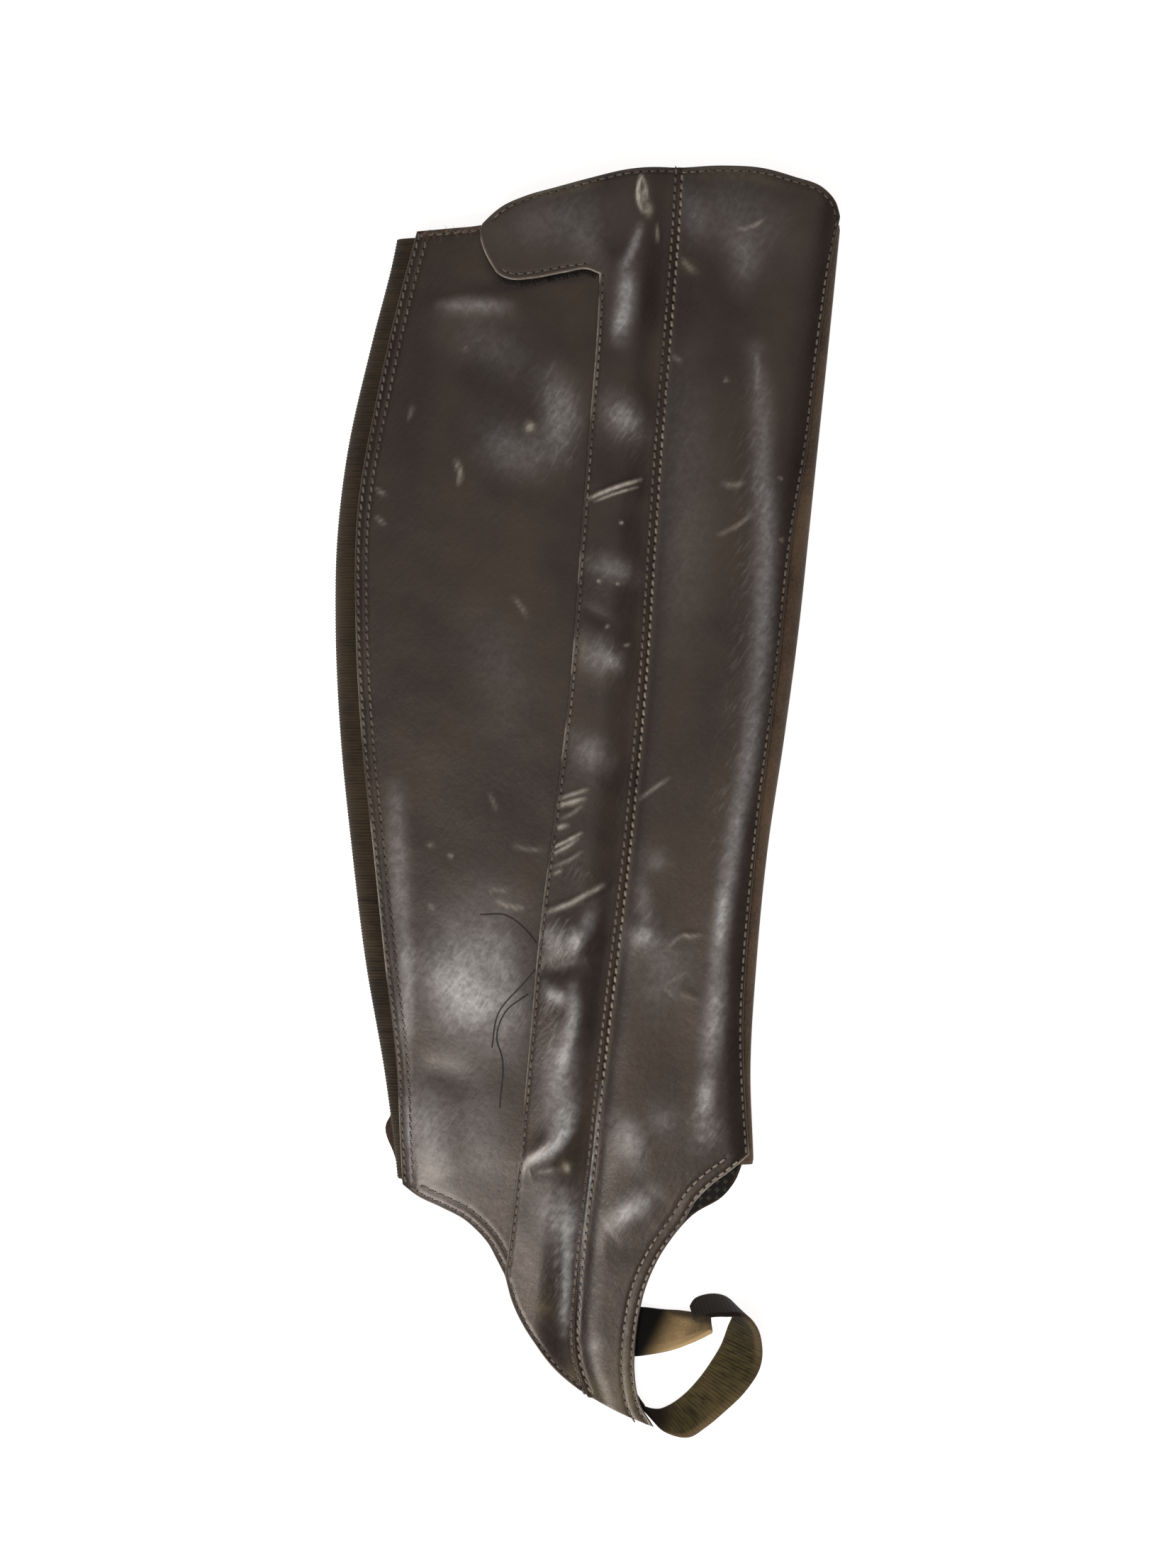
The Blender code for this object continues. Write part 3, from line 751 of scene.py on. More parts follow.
def uneven(across, up, size, seed):
    """Smooth unevenness between about -1 and 1, from a few waves in seeded directions."""
    dice = np.random.default_rng(seed)
    total = np.zeros(np.shape(across))
    for _ in range(7):
        angle, phase = dice.uniform(0.0, 2 * np.pi, 2)
        wave = 2 * np.pi / (size * dice.uniform(0.7, 1.6))
        total += np.sin(wave * (across * np.cos(angle) + up * np.sin(angle)) + phase)
    return total / 3.0


def rim_wear(stretches, up):
    """Wear of a cut edge, raised along stretches that are given by their upper and lower end."""
    wear = np.full(np.shape(up), RIM_WEAR)
    for high, low, strength in stretches:
        inside = ease((high - up) / 5.0) * ease((up - low) / 5.0)
        wear = np.maximum(wear, strength * inside)
    return wear


def at_seam(across, up):
    """1 on the centre seam, where both leathers are turned in and meet without a rounded rim."""
    away, _ = near(run(CENTRE_SEAM, even(90)), across, up)
    return np.exp(-(away / 1.0) ** 2)


def groove(path, across, up, depth):
    """Shallow groove that the thread has pulled into the leather along a row of stitches."""
    away, _ = near(path, across, up)
    return -depth * np.exp(-(away / GROOVE_WIDTH) ** 2)


# %% [markdown]
# ## Stitches
# A lockstitch shows as short thread capsules, one every 3.1 mm, that dip into a needle hole at both
# ends. One template is placed along each row by its tangent and the surface's height, and the
# stitches of each set of rows are one mesh.

# %% Stitching
PITCH = 3.1
STITCH = 2.35
THREAD_RADIUS = 0.36
HOLE_RADIUS = 0.3
HOLE_ABOVE = 0.05
HOLE_BEYOND = 0.14
OUTER_ROW = 1.3
INNER_ROW = 4.2
UPPER_ROW = 1.8
SPINE = np.array([-1.0, -0.86, -0.5, 0.0, 0.5, 0.86, 1.0])
SWELL = np.array([0.25, 0.75, 0.98, 1.0, 0.98, 0.75, 0.25])
RISE = np.array([-0.54, -0.12, 0.27, 0.36, 0.27, -0.12, -0.54])
SIDES = 8
AROUND = np.linspace(0.0, 2 * np.pi, SIDES, endpoint=False)


def stitch_faces():
    """Faces of one stitch: a closed tube of rings."""
    faces = []
    for ring in range(len(SPINE) - 1):
        here, there = SIDES * ring, SIDES * (ring + 1)
        for j in range(SIDES):
            k = (j + 1) % SIDES
            faces.append([here + j, here + k, there + k, there + j])
    last = SIDES * (len(SPINE) - 1)
    return faces + [list(range(SIDES))[::-1], [last + j for j in range(SIDES)]]


def sew(name, rows, surface, finish, slant=0.0, radius=THREAD_RADIUS):
    """Stitches and needle holes along rows of points that lie on a surface."""
    spans = []
    for row in rows:
        marks = np.concatenate(([0.0], np.cumsum(np.linalg.norm(np.diff(row, axis=0), axis=1))))
        middles = np.arange(PITCH * 0.6, marks[-1] - PITCH * 0.4, PITCH)
        ends = [[np.interp(middles + k * STITCH / 2, marks, row[:, c]) for c in (0, 1)] for k in (-1, 1)]
        spans.append(np.array(ends).transpose(2, 0, 1))
    spans = np.concatenate(spans)
    run_of = spans[:, 1] - spans[:, 0]
    side = np.column_stack([-run_of[:, 1], run_of[:, 0]]) / np.linalg.norm(run_of, axis=1)[:, None]
    spans[:, 0] -= slant * side
    spans[:, 1] += slant * side
    points = spans[:, None, 0] + (spans[:, None, 1] - spans[:, None, 0]) * ((SPINE + 1) / 2)[None, :, None]
    level = surface(points[..., 0], points[..., 1])
    wide = radius * SWELL[None, :, None] * np.cos(AROUND)
    flat = points[:, :, None] + side[:, None, None] * wide[..., None]
    z = level[..., None] + radius * (RISE[None, :, None] + 0.75 * SWELL[None, :, None] * np.sin(AROUND))
    tubes = np.concatenate([flat, z[..., None]], axis=-1).reshape(len(spans), -1, 3)
    middle = spans[:, 1] + HOLE_BEYOND * run_of
    ring = np.column_stack([np.cos(AROUND), np.sin(AROUND)]) * HOLE_RADIUS
    flat = np.concatenate([middle[:, None], middle[:, None] + ring[None]], axis=1)
    level = surface(flat[..., 0], flat[..., 1]) + HOLE_ABOVE
    holes = np.concatenate([flat, level[..., None]], axis=-1)
    start = len(spans) * tubes.shape[1]
    tube_faces = [[v + n * tubes.shape[1] for v in f] for n in range(len(spans)) for f in stitch_faces()]
    hole_faces = [[start + n * (SIDES + 1) + v for v in (0, 1 + j, 1 + (j + 1) % SIDES)]
                  for n in range(len(spans)) for j in range(SIDES)]
    verts = np.concatenate([tubes.reshape(-1, 3), holes.reshape(-1, 3)])
    kinds = [0] * len(tube_faces) + [1] * len(hole_faces)
    belongs(formed(name, metres(verts), tube_faces + hole_faces, [finish, needle_hole_painted_shade], kinds))
    print(name, "stitches:", len(spans))


# %% [markdown]
# ## Back panel
# The back panel lies lowest of the three leathers. Its left edge is folded in over the elastic and
# held by two rows of stitches, its right edge runs on under the zip cover. It sags a little between
# the calf and the ankle, and its gloss is broken into clouds there, which are partly painted
# highlights. Its hollows, creases and the strip under the tab carry painted shade.

# %% Back panel
BACK_STOPS_SHORT = 15.0
BACK_HIDDEN_FROM = -188.0
BACK_FOLDS = (
    (4, -0.25, (-58, 184), (-40, 185), (-20, 186)),
    (4.5, 0.5, (-58, 178), (-42, 178.5), (-24, 177)),
    (3, -0.25, (-50, 171), (-38, 173), (-22, 171)),
    (12, 0.45, (-24, 148), (-16, 130), (-20, 112)),
    (14, -0.35, (-70, 96), (-50, 90), (-20, 96)),
    (16, 0.3, (-60, 30), (-45, 26), (-25, 34)),
    (10, -0.5, (-62, -38), (-48, -46), (-36, -40)),
    (15, 0.6, (-60, -66), (-42, -62), (-28, -70)),
    (6, -0.7, (-64, -96), (-52, -97), (-42, -101)),
    (9, 0.4, (-62, -118), (-54, -124), (-50, -134)),
    (0.8, 0.2, (-76.4, 113), (-72.9, 110.2)),
    (0.8, 0.2, (-76.4, 103), (-72.9, 99.6)),
)
# Burnished places of the back panel, lightened with painted highlights on its clouds and ridges.
BACK_RUB_AND_HIGHLIGHT = (
    (2.4, 0.3, (-53, 178), (-42, 178.5), (-29, 178)),
    (9, 0.08, (-50, 170), (-34, 164), (-22, 154)),
    (5.5, 0.3, (-13, 152), (-10, 140), (-12, 126)),
    (8, 0.16, (-36, 134), (-28, 126), (-14, 126)),
    (10, 0.05, (-40, 66), (-32, 50), (-28, 24)),
    (3.2, 0.26, (-69.5, 6), (-68, -24), (-66, -60)),
    (2.4, 0.42, (-65, -50), (-65.2, -68), (-65.4, -88)),
    (13, 0.42, (-40, -42), (-44, -60), (-42, -84)),
    (8, 0.36, (-56, -58), (-46, -68), (-36, -80)),
    (7, 0.24, (-34, -44), (-31, -62), (-27, -86)),
    (7, 0.36, (-60, -102), (-57, -120), (-54, -138)),
    (9, 0.16, (-44, -104), (-40, -118), (-40, -138)),
    (1.8, 0.25, (-64.5, -102), (-64, -120), (-63.4, -134)),
)
# Fine slanted wrinkles of the back panel, with painted glints on their streaks.
BACK_HATCH_AND_GLINT = (
    (6, 0.5, (-14, 152), (-10, 140), (-13, 118)),
    (9, 0.22, (-40, -50), (-32, -66), (-26, -84)),
    (4, 0.2, (-56, -108), (-50, -114), (-44, -113)),
)
# Painted shade: darker plum in the hollows by the left fold, in the creases and under the tab.
BACK_PAINTED_SHADE = (
    (6.5, 0.75, (-52, 199), (-57, 188), (-60, 160), (-63, 128), (-68, 95)),
    (4, 0.45, (-76, 80), (-72, 10), (-66, -10)),
    (5.5, 0.7, (-60, 0), (-58.5, -28), (-56, -46)),
    (4, 0.75, (-64, -93), (-54, -95), (-40, -99)),
    (3, 0.6, (-56, 189), (-40, 185.5), (-22, 184.5)),
    (6, 0.35, (-2, 80), (-6, 30), (-12, -10)),
    # Painted shadow under the tab's lower edge.
    (1.7, 1.4, (-37, 195), (-33, 188), (-28, 185.9), (-12, 187.6), (2, 188.4)),
)
BACK_DUST = (
    (2, 0.9, (-21.5, 135.5), (-20.4, 133)),
    (4, 0.3, (-58, -128), (-54, -136)),
)
BACK_SCUFF = (
    (0.7, 0.5, (-33.8, -34.9), (-31, -36.2), (-24, -37.6)),
    (0.6, 0.25, (-36.3, -31.2), (-29.2, -31.4)),
    (0.6, 0.22, (-35.6, 3.8), (-33, -2.7)),
    (0.7, 0.2, (-27.6, -15), (-22.7, -16.3), (-16, -17)),
    (0.7, 0.55, (-47.6, 122.6), (-46, 118), (-46.4, 114.2)),
    (0.6, 0.25, (-45, 162.9), (-43.6, 161.7)),
    (1.1, 0.75, (-21.8, 135.6), (-20.4, 133.6)),
    (0.7, 0.25, (-63, 142), (-64.4, 137.5)),
    (0.6, 0.3, (-76.4, 113), (-72.9, 110.2)),
    (0.6, 0.3, (-76.4, 103), (-72.9, 99.6)),
    (0.7, 0.25, (-27, 73.6), (-24, 70), (-22, 66.5)),
    (0.9, 0.25, (-57.4, -14.6), (-56, -15.4)),
    (0.55, 0.8, (-50, -18.7), (-49.2, -19.3)),
    (0.6, 0.25, (-56.9, -36), (-56, -38.5)),
)
BACK_RIM = ((70, 20, 0.5), (-4, -66, 1), (-104, -137, 0.8))
BACK_ROWS = [inset(BACK_EDGE, -OUTER_ROW, 60), inset(BACK_EDGE, -INNER_ROW, 60)]
HEEL_ROWS = [inset(BACK_HEEL, OUTER_ROW, 30)[1:27], inset(BACK_HEEL, INNER_ROW, 30)[2:25]]
BACK_TOP_ROW = inset(BACK_TOP[:4], -UPPER_ROW, 16)


def back_surface(across, up):
    under_cover = ease((seam_at(up) - across - 24.0) / 10.0)
    free = ease((across + 84.0) / 12.0)
    relief = soft(BACK_FOLDS, across, up) * under_cover * free
    relief += 0.10 * uneven(across, up, 26.0, 3) * under_cover
    for path in (*BACK_ROWS, *HEEL_ROWS, BACK_TOP_ROW):
        relief += groove(path, across, up, 0.16)
    return leather_height(across, up) + relief


back_columns = ramped(95.0, 0.45, 1.25, 6.0, 0.6)
back_rows = ramped(342.0, 0.6, 1.1, 3.0, 3.0)
hidden = np.array([p for p in CENTRE_SEAM if p[1] > BACK_HIDDEN_FROM]) - (BACK_STOPS_SHORT, 0.0)
hidden[0] = BACK_HEEL[-1]
hidden[-1] = BACK_TOP[-1]
flat = patch(run(BACK_EDGE, back_rows), run(hidden, back_rows), run(BACK_HEEL, back_columns),
             run(BACK_TOP, back_columns))
grids = [lift(flat, back_surface)]
marks = marked(grids, rub=BACK_RUB_AND_HIGHLIGHT, hatch=BACK_HATCH_AND_GLINT, plum=BACK_PAINTED_SHADE, dust=BACK_DUST, scuff=BACK_SCUFF)
marks["worn"] = [rim_wear(BACK_RIM, flat[..., 1])]
back = sheet("back_panel_leather", grids, LEATHER, [panel_leather, cut_leather], marks)
belongs(back, "leather", "back_panel")
sew("back_panel_stitches", [*BACK_ROWS, *HEEL_ROWS, BACK_TOP_ROW], back_surface, brown_thread, slant=0.25)
print("back panel faces:", len(back.data.polygons))

# %% [markdown]
# ## Front panel
# The front panel takes the rub of the saddle. It has a hollow beside the centre seam, where the zip
# stops, and a long roll down to the shin that shines, partly by a painted highlight. The hollow and
# the roll's far side towards the shin carry painted shade. A shallow curve from the arch to the tip
# takes the stirrup band.

# %% Front panel
HOLLOW_AT = 5.0
FRONT_FOLDS = (
    (8, 0.8, (62, 170), (62.5, 110), (62, 60), (56.5, 13.5), (51, -16), (47, -44), (45.4, -68),
     (42, -112)),
    (12, -0.3, (42, 210), (44, 150), (42, 80)),
    (9, -0.35, (36, -50), (33, -70), (31, -100)),
    (4.5, 0.45, (12, -47), (20, -47), (27, -48.5)),
    (1.2, 0.22, (29, -51), (33.8, -47.2), (40, -47)),
    (1.6, 0.18, (31, -66), (40, -70)),
    (7, 0.4, (8, -114), (14, -119), (22, -124)),
    (0.8, 0.3, (5.2, -96), (2, -122), (0, -140), (-2.2, -165), (-3.6, -194)),
    (7, 0.55, (6, -153), (13, -148), (23, -139)),
    (6, -0.35, (5, -160), (14, -158), (24, -149)),
    (0.9, -0.2, (38, -118), (47, -114.5)),
    (0.9, -0.2, (39, -113.5), (46, -110.5)),
    (0.9, -0.16, (38.5, -122.5), (45, -119.5)),
)
# Burnished places of the front panel, lightened with painted highlights along the roll and on the pillows.
FRONT_RUB_AND_HIGHLIGHT = (
    (3.6, 0.26, (59.5, 162), (61.8, 146), (62, 117), (63.4, 100), (62.7, 81), (62, 60), (59.8, 38),
     (56.5, 13.5)),
    (2.9, 0.34, (59, 30), (56.5, 13.5), (51.3, -15.7), (48.8, -33), (47.1, -43.7), (45.4, -68),
     (43, -90)),
    (2, 0.35, (48, -32), (47.1, -43.7), (46.6, -50)),
    (3.4, 0.25, (46, -66), (44.6, -80), (43, -96)),
    (2.8, 0.6, (42.6, -98), (41.8, -106), (41.4, -112)),
    (4, 0.22, (40, -112), (42, -117), (40, -123)),
    (0.8, 0.2, (60.2, 161), (60.2, 147)),
    (3, 0.15, (18, -28), (20, -38), (20.5, -46)),
    (2.6, 0.45, (15.5, -46.5), (19.3, -47.2), (23, -48.6)),
    (8, 0.14, (13, -48), (26, -56), (24, -74)),
    (4, 0.14, (21, -19), (27, -22)),
    (4.4, 0.42, (11, -113), (14.6, -120), (16, -128)),
    (5, 0.16, (24, -110), (28, -118)),
    (4, 0.5, (7.5, -151), (14.6, -146), (22, -140.5)),
    (1.8, 0.35, (10.5, -148.5), (14.5, -146.5)),
    (3, 0.2, (1, -192.5), (4, -197)),
    (4.5, 0.12, (35, 218), (38, 210), (37, 202)),
    (12, 0.1, (40, 216), (54, 210), (68, 198)),
    (10, 0.07, (34, 160), (35, 110), (32, 60)),
    (5, 0.14, (52, 204), (56, 196), (55, 186)),
    (0.7, 0.6, (5, -100), (2, -122), (0, -140), (-2.2, -165), (-3.6, -190)),
)
# Fine slanted wrinkles of the front panel, with painted glints on their streaks.
FRONT_HATCH_AND_GLINT = (
    (5, 0.25, (56, 150), (56.5, 110), (55.5, 60), (50, 13), (45, -15), (42, -32)),
    (3, 0.12, (62, 120), (62, 90)),
    (4, 0.25, (20, -30), (20, -45)),
    (4.5, 0.45, (42, -106), (43, -122)),
    (6, 0.25, (10, -140), (20, -143)),
)
FRONT_DUST = (
    (7, 0.7, (-2, -208), (6, -213), (18, -217)),
    (4, 0.75, (14, -192), (13.5, -206), (18, -218)),
    (2.4, 0.5, (36, 226), (54, 226), (72, 221)),
    (3, 0.4, (33, 194.8), (38.3, 189.9)),
)
FRONT_SCUFF = (
    (0.6, 0.35, (18, 1.3), (23, 5), (28.6, 8.9)),
    (0.5, 0.36, (29, -51.2), (33.8, -47.2), (36, -47.6), (40.3, -47)),
    (0.5, 0.2, (27, -66), (31, -70.5)),
    (0.5, 0.16, (29, -64), (35, -60.5)),
    (0.7, 0.3, (46, 95.8), (52, 98.6), (58.4, 103.5)),
    (1, 0.25, (47.8, 114.4), (51, 113.6), (55.7, 114.6)),
    (0.6, 0.4, (53, 205.6), (58, 206.4), (62.8, 209.4)),
    (0.8, 0.3, (33.4, 195), (35.2, 192.4), (38.4, 189.9)),
    (0.55, 0.5, (48.8, 152), (49.6, 151.2)),
    (0.5, 0.6, (68.5, 94.6), (69.2, 93.8)),
    (0.5, 0.5, (68.2, 116.6), (68.8, 115.8)),
    (0.8, 0.2, (30, 160), (33, 158)),
)
FRONT_RIM = ((215, 190, 0.3), (-120, -145, 0.9))
SEAM_ROW_RIGHT = inset(CENTRE_SEAM, -OUTER_ROW, 70)
SHIN_ROW = inset(SHIN_SEAM, 1.2, 50)
ARCH_ROWS = [inset(ARCH, 1.0, 50)[1:-1], inset(ARCH, 4.6, 50)[2:-3]]
FRONT_TOP_ROW = inset(FRONT_TOP, -UPPER_ROW, 30)


def front_surface(across, up):
    from_seam = across - seam_at(up)
    relief = soft(FRONT_FOLDS, across, up)
    relief += 0.10 * uneven(across, up, 28.0, 5)
    ridge = np.exp(-((from_seam - SEAM_GAP) / 0.9) ** 2)
    relief += 0.40 * ridge - 0.30 * np.exp(-((from_seam - HOLLOW_AT) / 2.6) ** 2)
    for path in (SEAM_ROW_RIGHT, SHIN_ROW, *ARCH_ROWS, FRONT_TOP_ROW):
        relief += groove(path, across, up, 0.18)
    return leather_height(across, up) + relief


front_columns = ramped(58.0, 0.45, 1.0, 6.0, 5.0)
arch_rows = ramped(125.0, 0.6, 1.0, 3.0, 3.0)
shin_rows = ramped(342.0, 0.6, 1.1, 3.0, 3.0)
right = np.concatenate([run(ARCH, arch_rows), run(SHIN_SEAM, shin_rows)[1:]])
left = run(CENTRE_SEAM, lengths(right))
tip = run(TIP, front_columns)
top = run(FRONT_TOP, front_columns)
tip[0] = left[0]
top[0] = left[-1]
flat = patch(left, right, tip, top)
flat[..., 0] += SEAM_GAP * (1.0 - front_columns[:, None])
across, up = flat[..., 0], flat[..., 1]
from_seam = across - seam_at(up)
shin_band = near(inset(SHIN_SEAM, 6.0, 60), across, up)[0]
grids = [lift(flat, front_surface)]
marks = marked(grids, rub=FRONT_RUB_AND_HIGHLIGHT, hatch=FRONT_HATCH_AND_GLINT, dust=FRONT_DUST, scuff=FRONT_SCUFF)
# Painted shade in the hollow beside the seam and on the roll's far side by the shin seam.
marks["plum"] = [0.8 * np.exp(-((from_seam - HOLLOW_AT) / 2.8) ** 2)
                 + 0.75 * np.exp(-(shin_band / 4.5) ** 2)]
marks["worn"] = [rim_wear(FRONT_RIM, up) * ease((from_seam - 2.0) / 3.0)]
marks["flush"] = [at_seam(across, up)]
front = sheet("front_panel_leather", grids, LEATHER, [panel_leather, cut_leather], marks)
belongs(front, "leather", "front_panel", "front_panel_foot")
sew("front_seam_stitches", [SEAM_ROW_RIGHT], front_surface, beige_thread, slant=0.18, radius=0.5)
sew("front_panel_stitches", ARCH_ROWS, front_surface, beige_thread)
sew("shin_and_top_stitches", [SHIN_ROW, FRONT_TOP_ROW], front_surface, brown_thread)
print("front panel faces:", len(front.data.polygons))

# %% [markdown]
# ## Zip cover and tab
# A strip of softer leather covers the zip and ends at the top in a tab that closes over it. The zip
# under it puckers the strip into soft pillows, one every 33 mm or so. They are placed one by one,
# because no two are alike, and short scratches cross the strip at the height of the stirrup
# leather's buckle. The pillows carry painted highlights, and the folds between them painted shade.

# %% Zip cover
COVER_RISE = 14.5
PILLOW_LEAN = 0.25
TAB_LIFT = 1.3
TAB_LIFT_FROM = 178.0
TAB_LIFT_FULL = 190.0
TAB_RISE_FROM = 18.0
TAB_RISE_OVER = 14.0
# Height up the leg, place across from the seam, half width, half length, height of each pillow
PILLOWS = (
    (178, -12, 9, 11, 0.75),
    (139, -12, 11, 11, 0.9),
    (113, -12, 12, 5, 0.45),
    (85, -13, 11, 12, 0.85),
    (52, -13, 11, 11, 0.8),
    (19, -14, 10, 11, 0.8),
    (-14, -14, 10, 9, 0.4),
    (-48, -17, 11, 9, 0.95),
    (-76, -16, 9, 14, 1),
    (-108, -14, 9, 18, 1.1),
    (-124, -17, 9, 7, 0.5),
    (-158, -15, 10, 14, 0.6),
)
COVER_FOLDS = (
    (4, -0.45, (4, 206), (9, 200), (14, 196)),
    (1.6, 0.35, (19, 208), (15, 196), (10.8, 190.5)),
    (0.9, 0.2, (24.3, 207.5), (24.6, 201)),
    (1.5, -0.4, (19.2, 223.5), (19.4, 218), (20.6, 212.5)),
    (0.7, 0.4, (18.4, 224.6), (17.4, 220), (17.8, 215), (19.2, 211.8)),
    (1.5, 0.4, (-0.2, 109), (9, 112.6), (18.4, 115.6)),
    (0.7, -0.4, (1, 108), (9, 111), (17.6, 113.6)),
    (3, -0.45, (-2.8, 70), (3, 66.5), (9, 63.5)),
    (0.8, 0.25, (-10.1, 1.8), (-5, 3.6), (-0.3, 5)),
    (0.8, 0.25, (-11, -0.5), (-5, 0.8), (-1.3, 1.8)),
    (0.8, -0.2, (-10.6, -2.6), (-5, -0.8)),
    (0.8, 0.25, (-12.6, -15.7), (-7, -13), (-2.6, -10.5)),
    (0.8, 0.25, (-13, -18), (-8, -15.6), (-3.9, -12.8)),
    (0.5, -0.25, (-12.8, -16.9), (-7.5, -14.2), (-3.2, -11.7)),
    (0.8, 0.2, (-12.6, -22.5), (-7, -20.2), (-2.6, -17.3)),
    (1.2, 0.35, (-15.2, -38.7), (-4, -34.2), (8.4, -28)),
    (1.4, -0.2, (-15, -41), (-4, -36.6), (8, -31)),
    (2.6, 0.4, (-4.2, -50), (-1.5, -45.5), (1.3, -40.2)),
    (3.6, -0.8, (-17.5, -62), (-9, -59), (0, -56)),
    (3, 0.4, (-16.2, -66.5), (-10, -68), (-6.5, -70.8)),
    (2.4, 0.55, (-6.5, -69), (-5.2, -77.2), (-7.1, -88.1), (-10, -100)),
    (3.4, 0.75, (-6, -108.5), (-12.5, -119), (-23.2, -129)),
    (3, -0.6, (-7, -128), (-13, -131), (-21, -133)),
    (1.2, 0.2, (-7.5, -140), (-8, -160), (-8.5, -184)),
    (1.2, 0.2, (-10.5, -150), (-10.8, -168), (-10, -182)),
)
# Burnished places of the cover, lightened with painted highlights on the pillows and creases.
COVER_RUB_AND_HIGHLIGHT = (
    (3.2, 0.4, (14, 191.5), (13.5, 184), (12.5, 176), (11, 166)),
    (1.8, 0.3, (13.2, 187), (13.4, 182)),
    (1.8, 0.35, (13, 177.5), (11, 172), (9.6, 169)),
    (1.6, 0.4, (18.5, 206.5), (15.5, 198), (12, 191.5)),
    (6, 0.1, (-6, 205), (0, 200), (4, 194)),
    (9, 0.1, (-28, 204), (-10, 209), (6, 213)),
    (5, 0.36, (8, 143), (12, 138), (17, 133)),
    (4, 0.22, (1, 86), (8, 84), (16, 81)),
    (5, 0.26, (-1.5, 57), (3, 53), (8, 51)),
    (2.2, 0.36, (6, 53), (8.2, 50.8), (10, 48.5)),
    (5, 0.25, (-4, 22), (0, 19), (5, 15)),
    (2.2, 0.7, (-5.6, -46), (-5.2, -49), (-5.6, -53)),
    (4, 0.32, (-15, -44), (-13, -48), (-9, -53)),
    (2.4, 0.25, (1.3, -38), (-0.5, -43), (-3.5, -49)),
    (2.6, 0.5, (-15.5, -66), (-13, -68.5), (-8, -70.5)),
    (2, 0.55, (-5.6, -66), (-5.2, -74), (-7.1, -84), (-9.5, -95)),
    (5, 0.42, (-9, -84), (-11, -98), (-12.5, -112)),
    (3.2, 0.42, (-6, -106), (-9, -113), (-13, -121)),
    (2, 0.75, (-6.5, -114), (-10.5, -120.5), (-15, -125), (-22.5, -129)),
    (7.5, 0.36, (-18, -140), (-12, -147), (-9, -158)),
    (1.7, 0.5, (-7.5, -146), (-8, -168), (-9, -190)),
)
# Fine slanted wrinkles of the cover, with painted glints on their streaks.
COVER_HATCH_AND_GLINT = (
    (5, 0.5, (9, 145), (12, 138), (15, 128)),
    (4, 0.3, (3, 87), (8, 82)),
    (4.5, 0.45, (4, 56), (9, 48)),
    (4, 0.3, (-2, 20), (4, 15)),
    (5, 0.3, (-8, -21), (-2, -27), (0, -34)),
    (4.5, 1, (-12, -42), (-9, -48), (-10, -55)),
    (4, 0.9, (-14, -66), (-12, -76), (-15, -90)),
    (4, 0.35, (-8, -108), (-12, -118)),
    (3.6, 0.8, (-8, -140), (-8.5, -160), (-9.5, -186)),
    (5, 0.4, (-16, -142), (-12, -152)),
)
# Painted shade: darker plum beside the seam, in the folds between the pillows and by the tab.
COVER_PAINTED_SHADE = (
    (3.4, 0.8, (25, 214), (22, 190), (18.5, 165), (17.5, 150)),
    (4, 0.75, (7, 204), (11, 200), (13, 196)),
    (3.2, 0.6, (-2.8, 70), (3, 66.5), (9, 63.5)),
    (4.5, 0.6, (-4, 38), (3, 38), (10, 36)),
    (3.6, 0.6, (-8, 8), (0, 8.5), (6, 6)),
    (3.2, 0.7, (8, -22), (3, -60), (-1.5, -100)),
    (3.4, 0.9, (-17.5, -62), (-9, -59.5), (-1, -57)),
    (3, 0.6, (-17, -80), (-18.5, -96), (-19, -112)),
    (2.8, 0.8, (-7, -129), (-13, -131), (-21, -132.5)),
    (5, 0.7, (-18, -186), (-12, -195), (-8, -202)),
)
COVER_DUST = (
    (3.2, 0.6, (-24, -178), (-18, -181), (-13, -182)),
    (2.2, 0.9, (-9.4, -128.6), (-7, -132)),
    (1.8, 0.7, (-28, 216), (-12, 219), (4, 222.5)),
    (2.2, 0.5, (-3, 60), (-2.5, 48)),
    (1.9, 0.9, (20.6, 215), (21.4, 210.2)),
    (4, 0.6, (-6, -201), (-3, -209)),
)
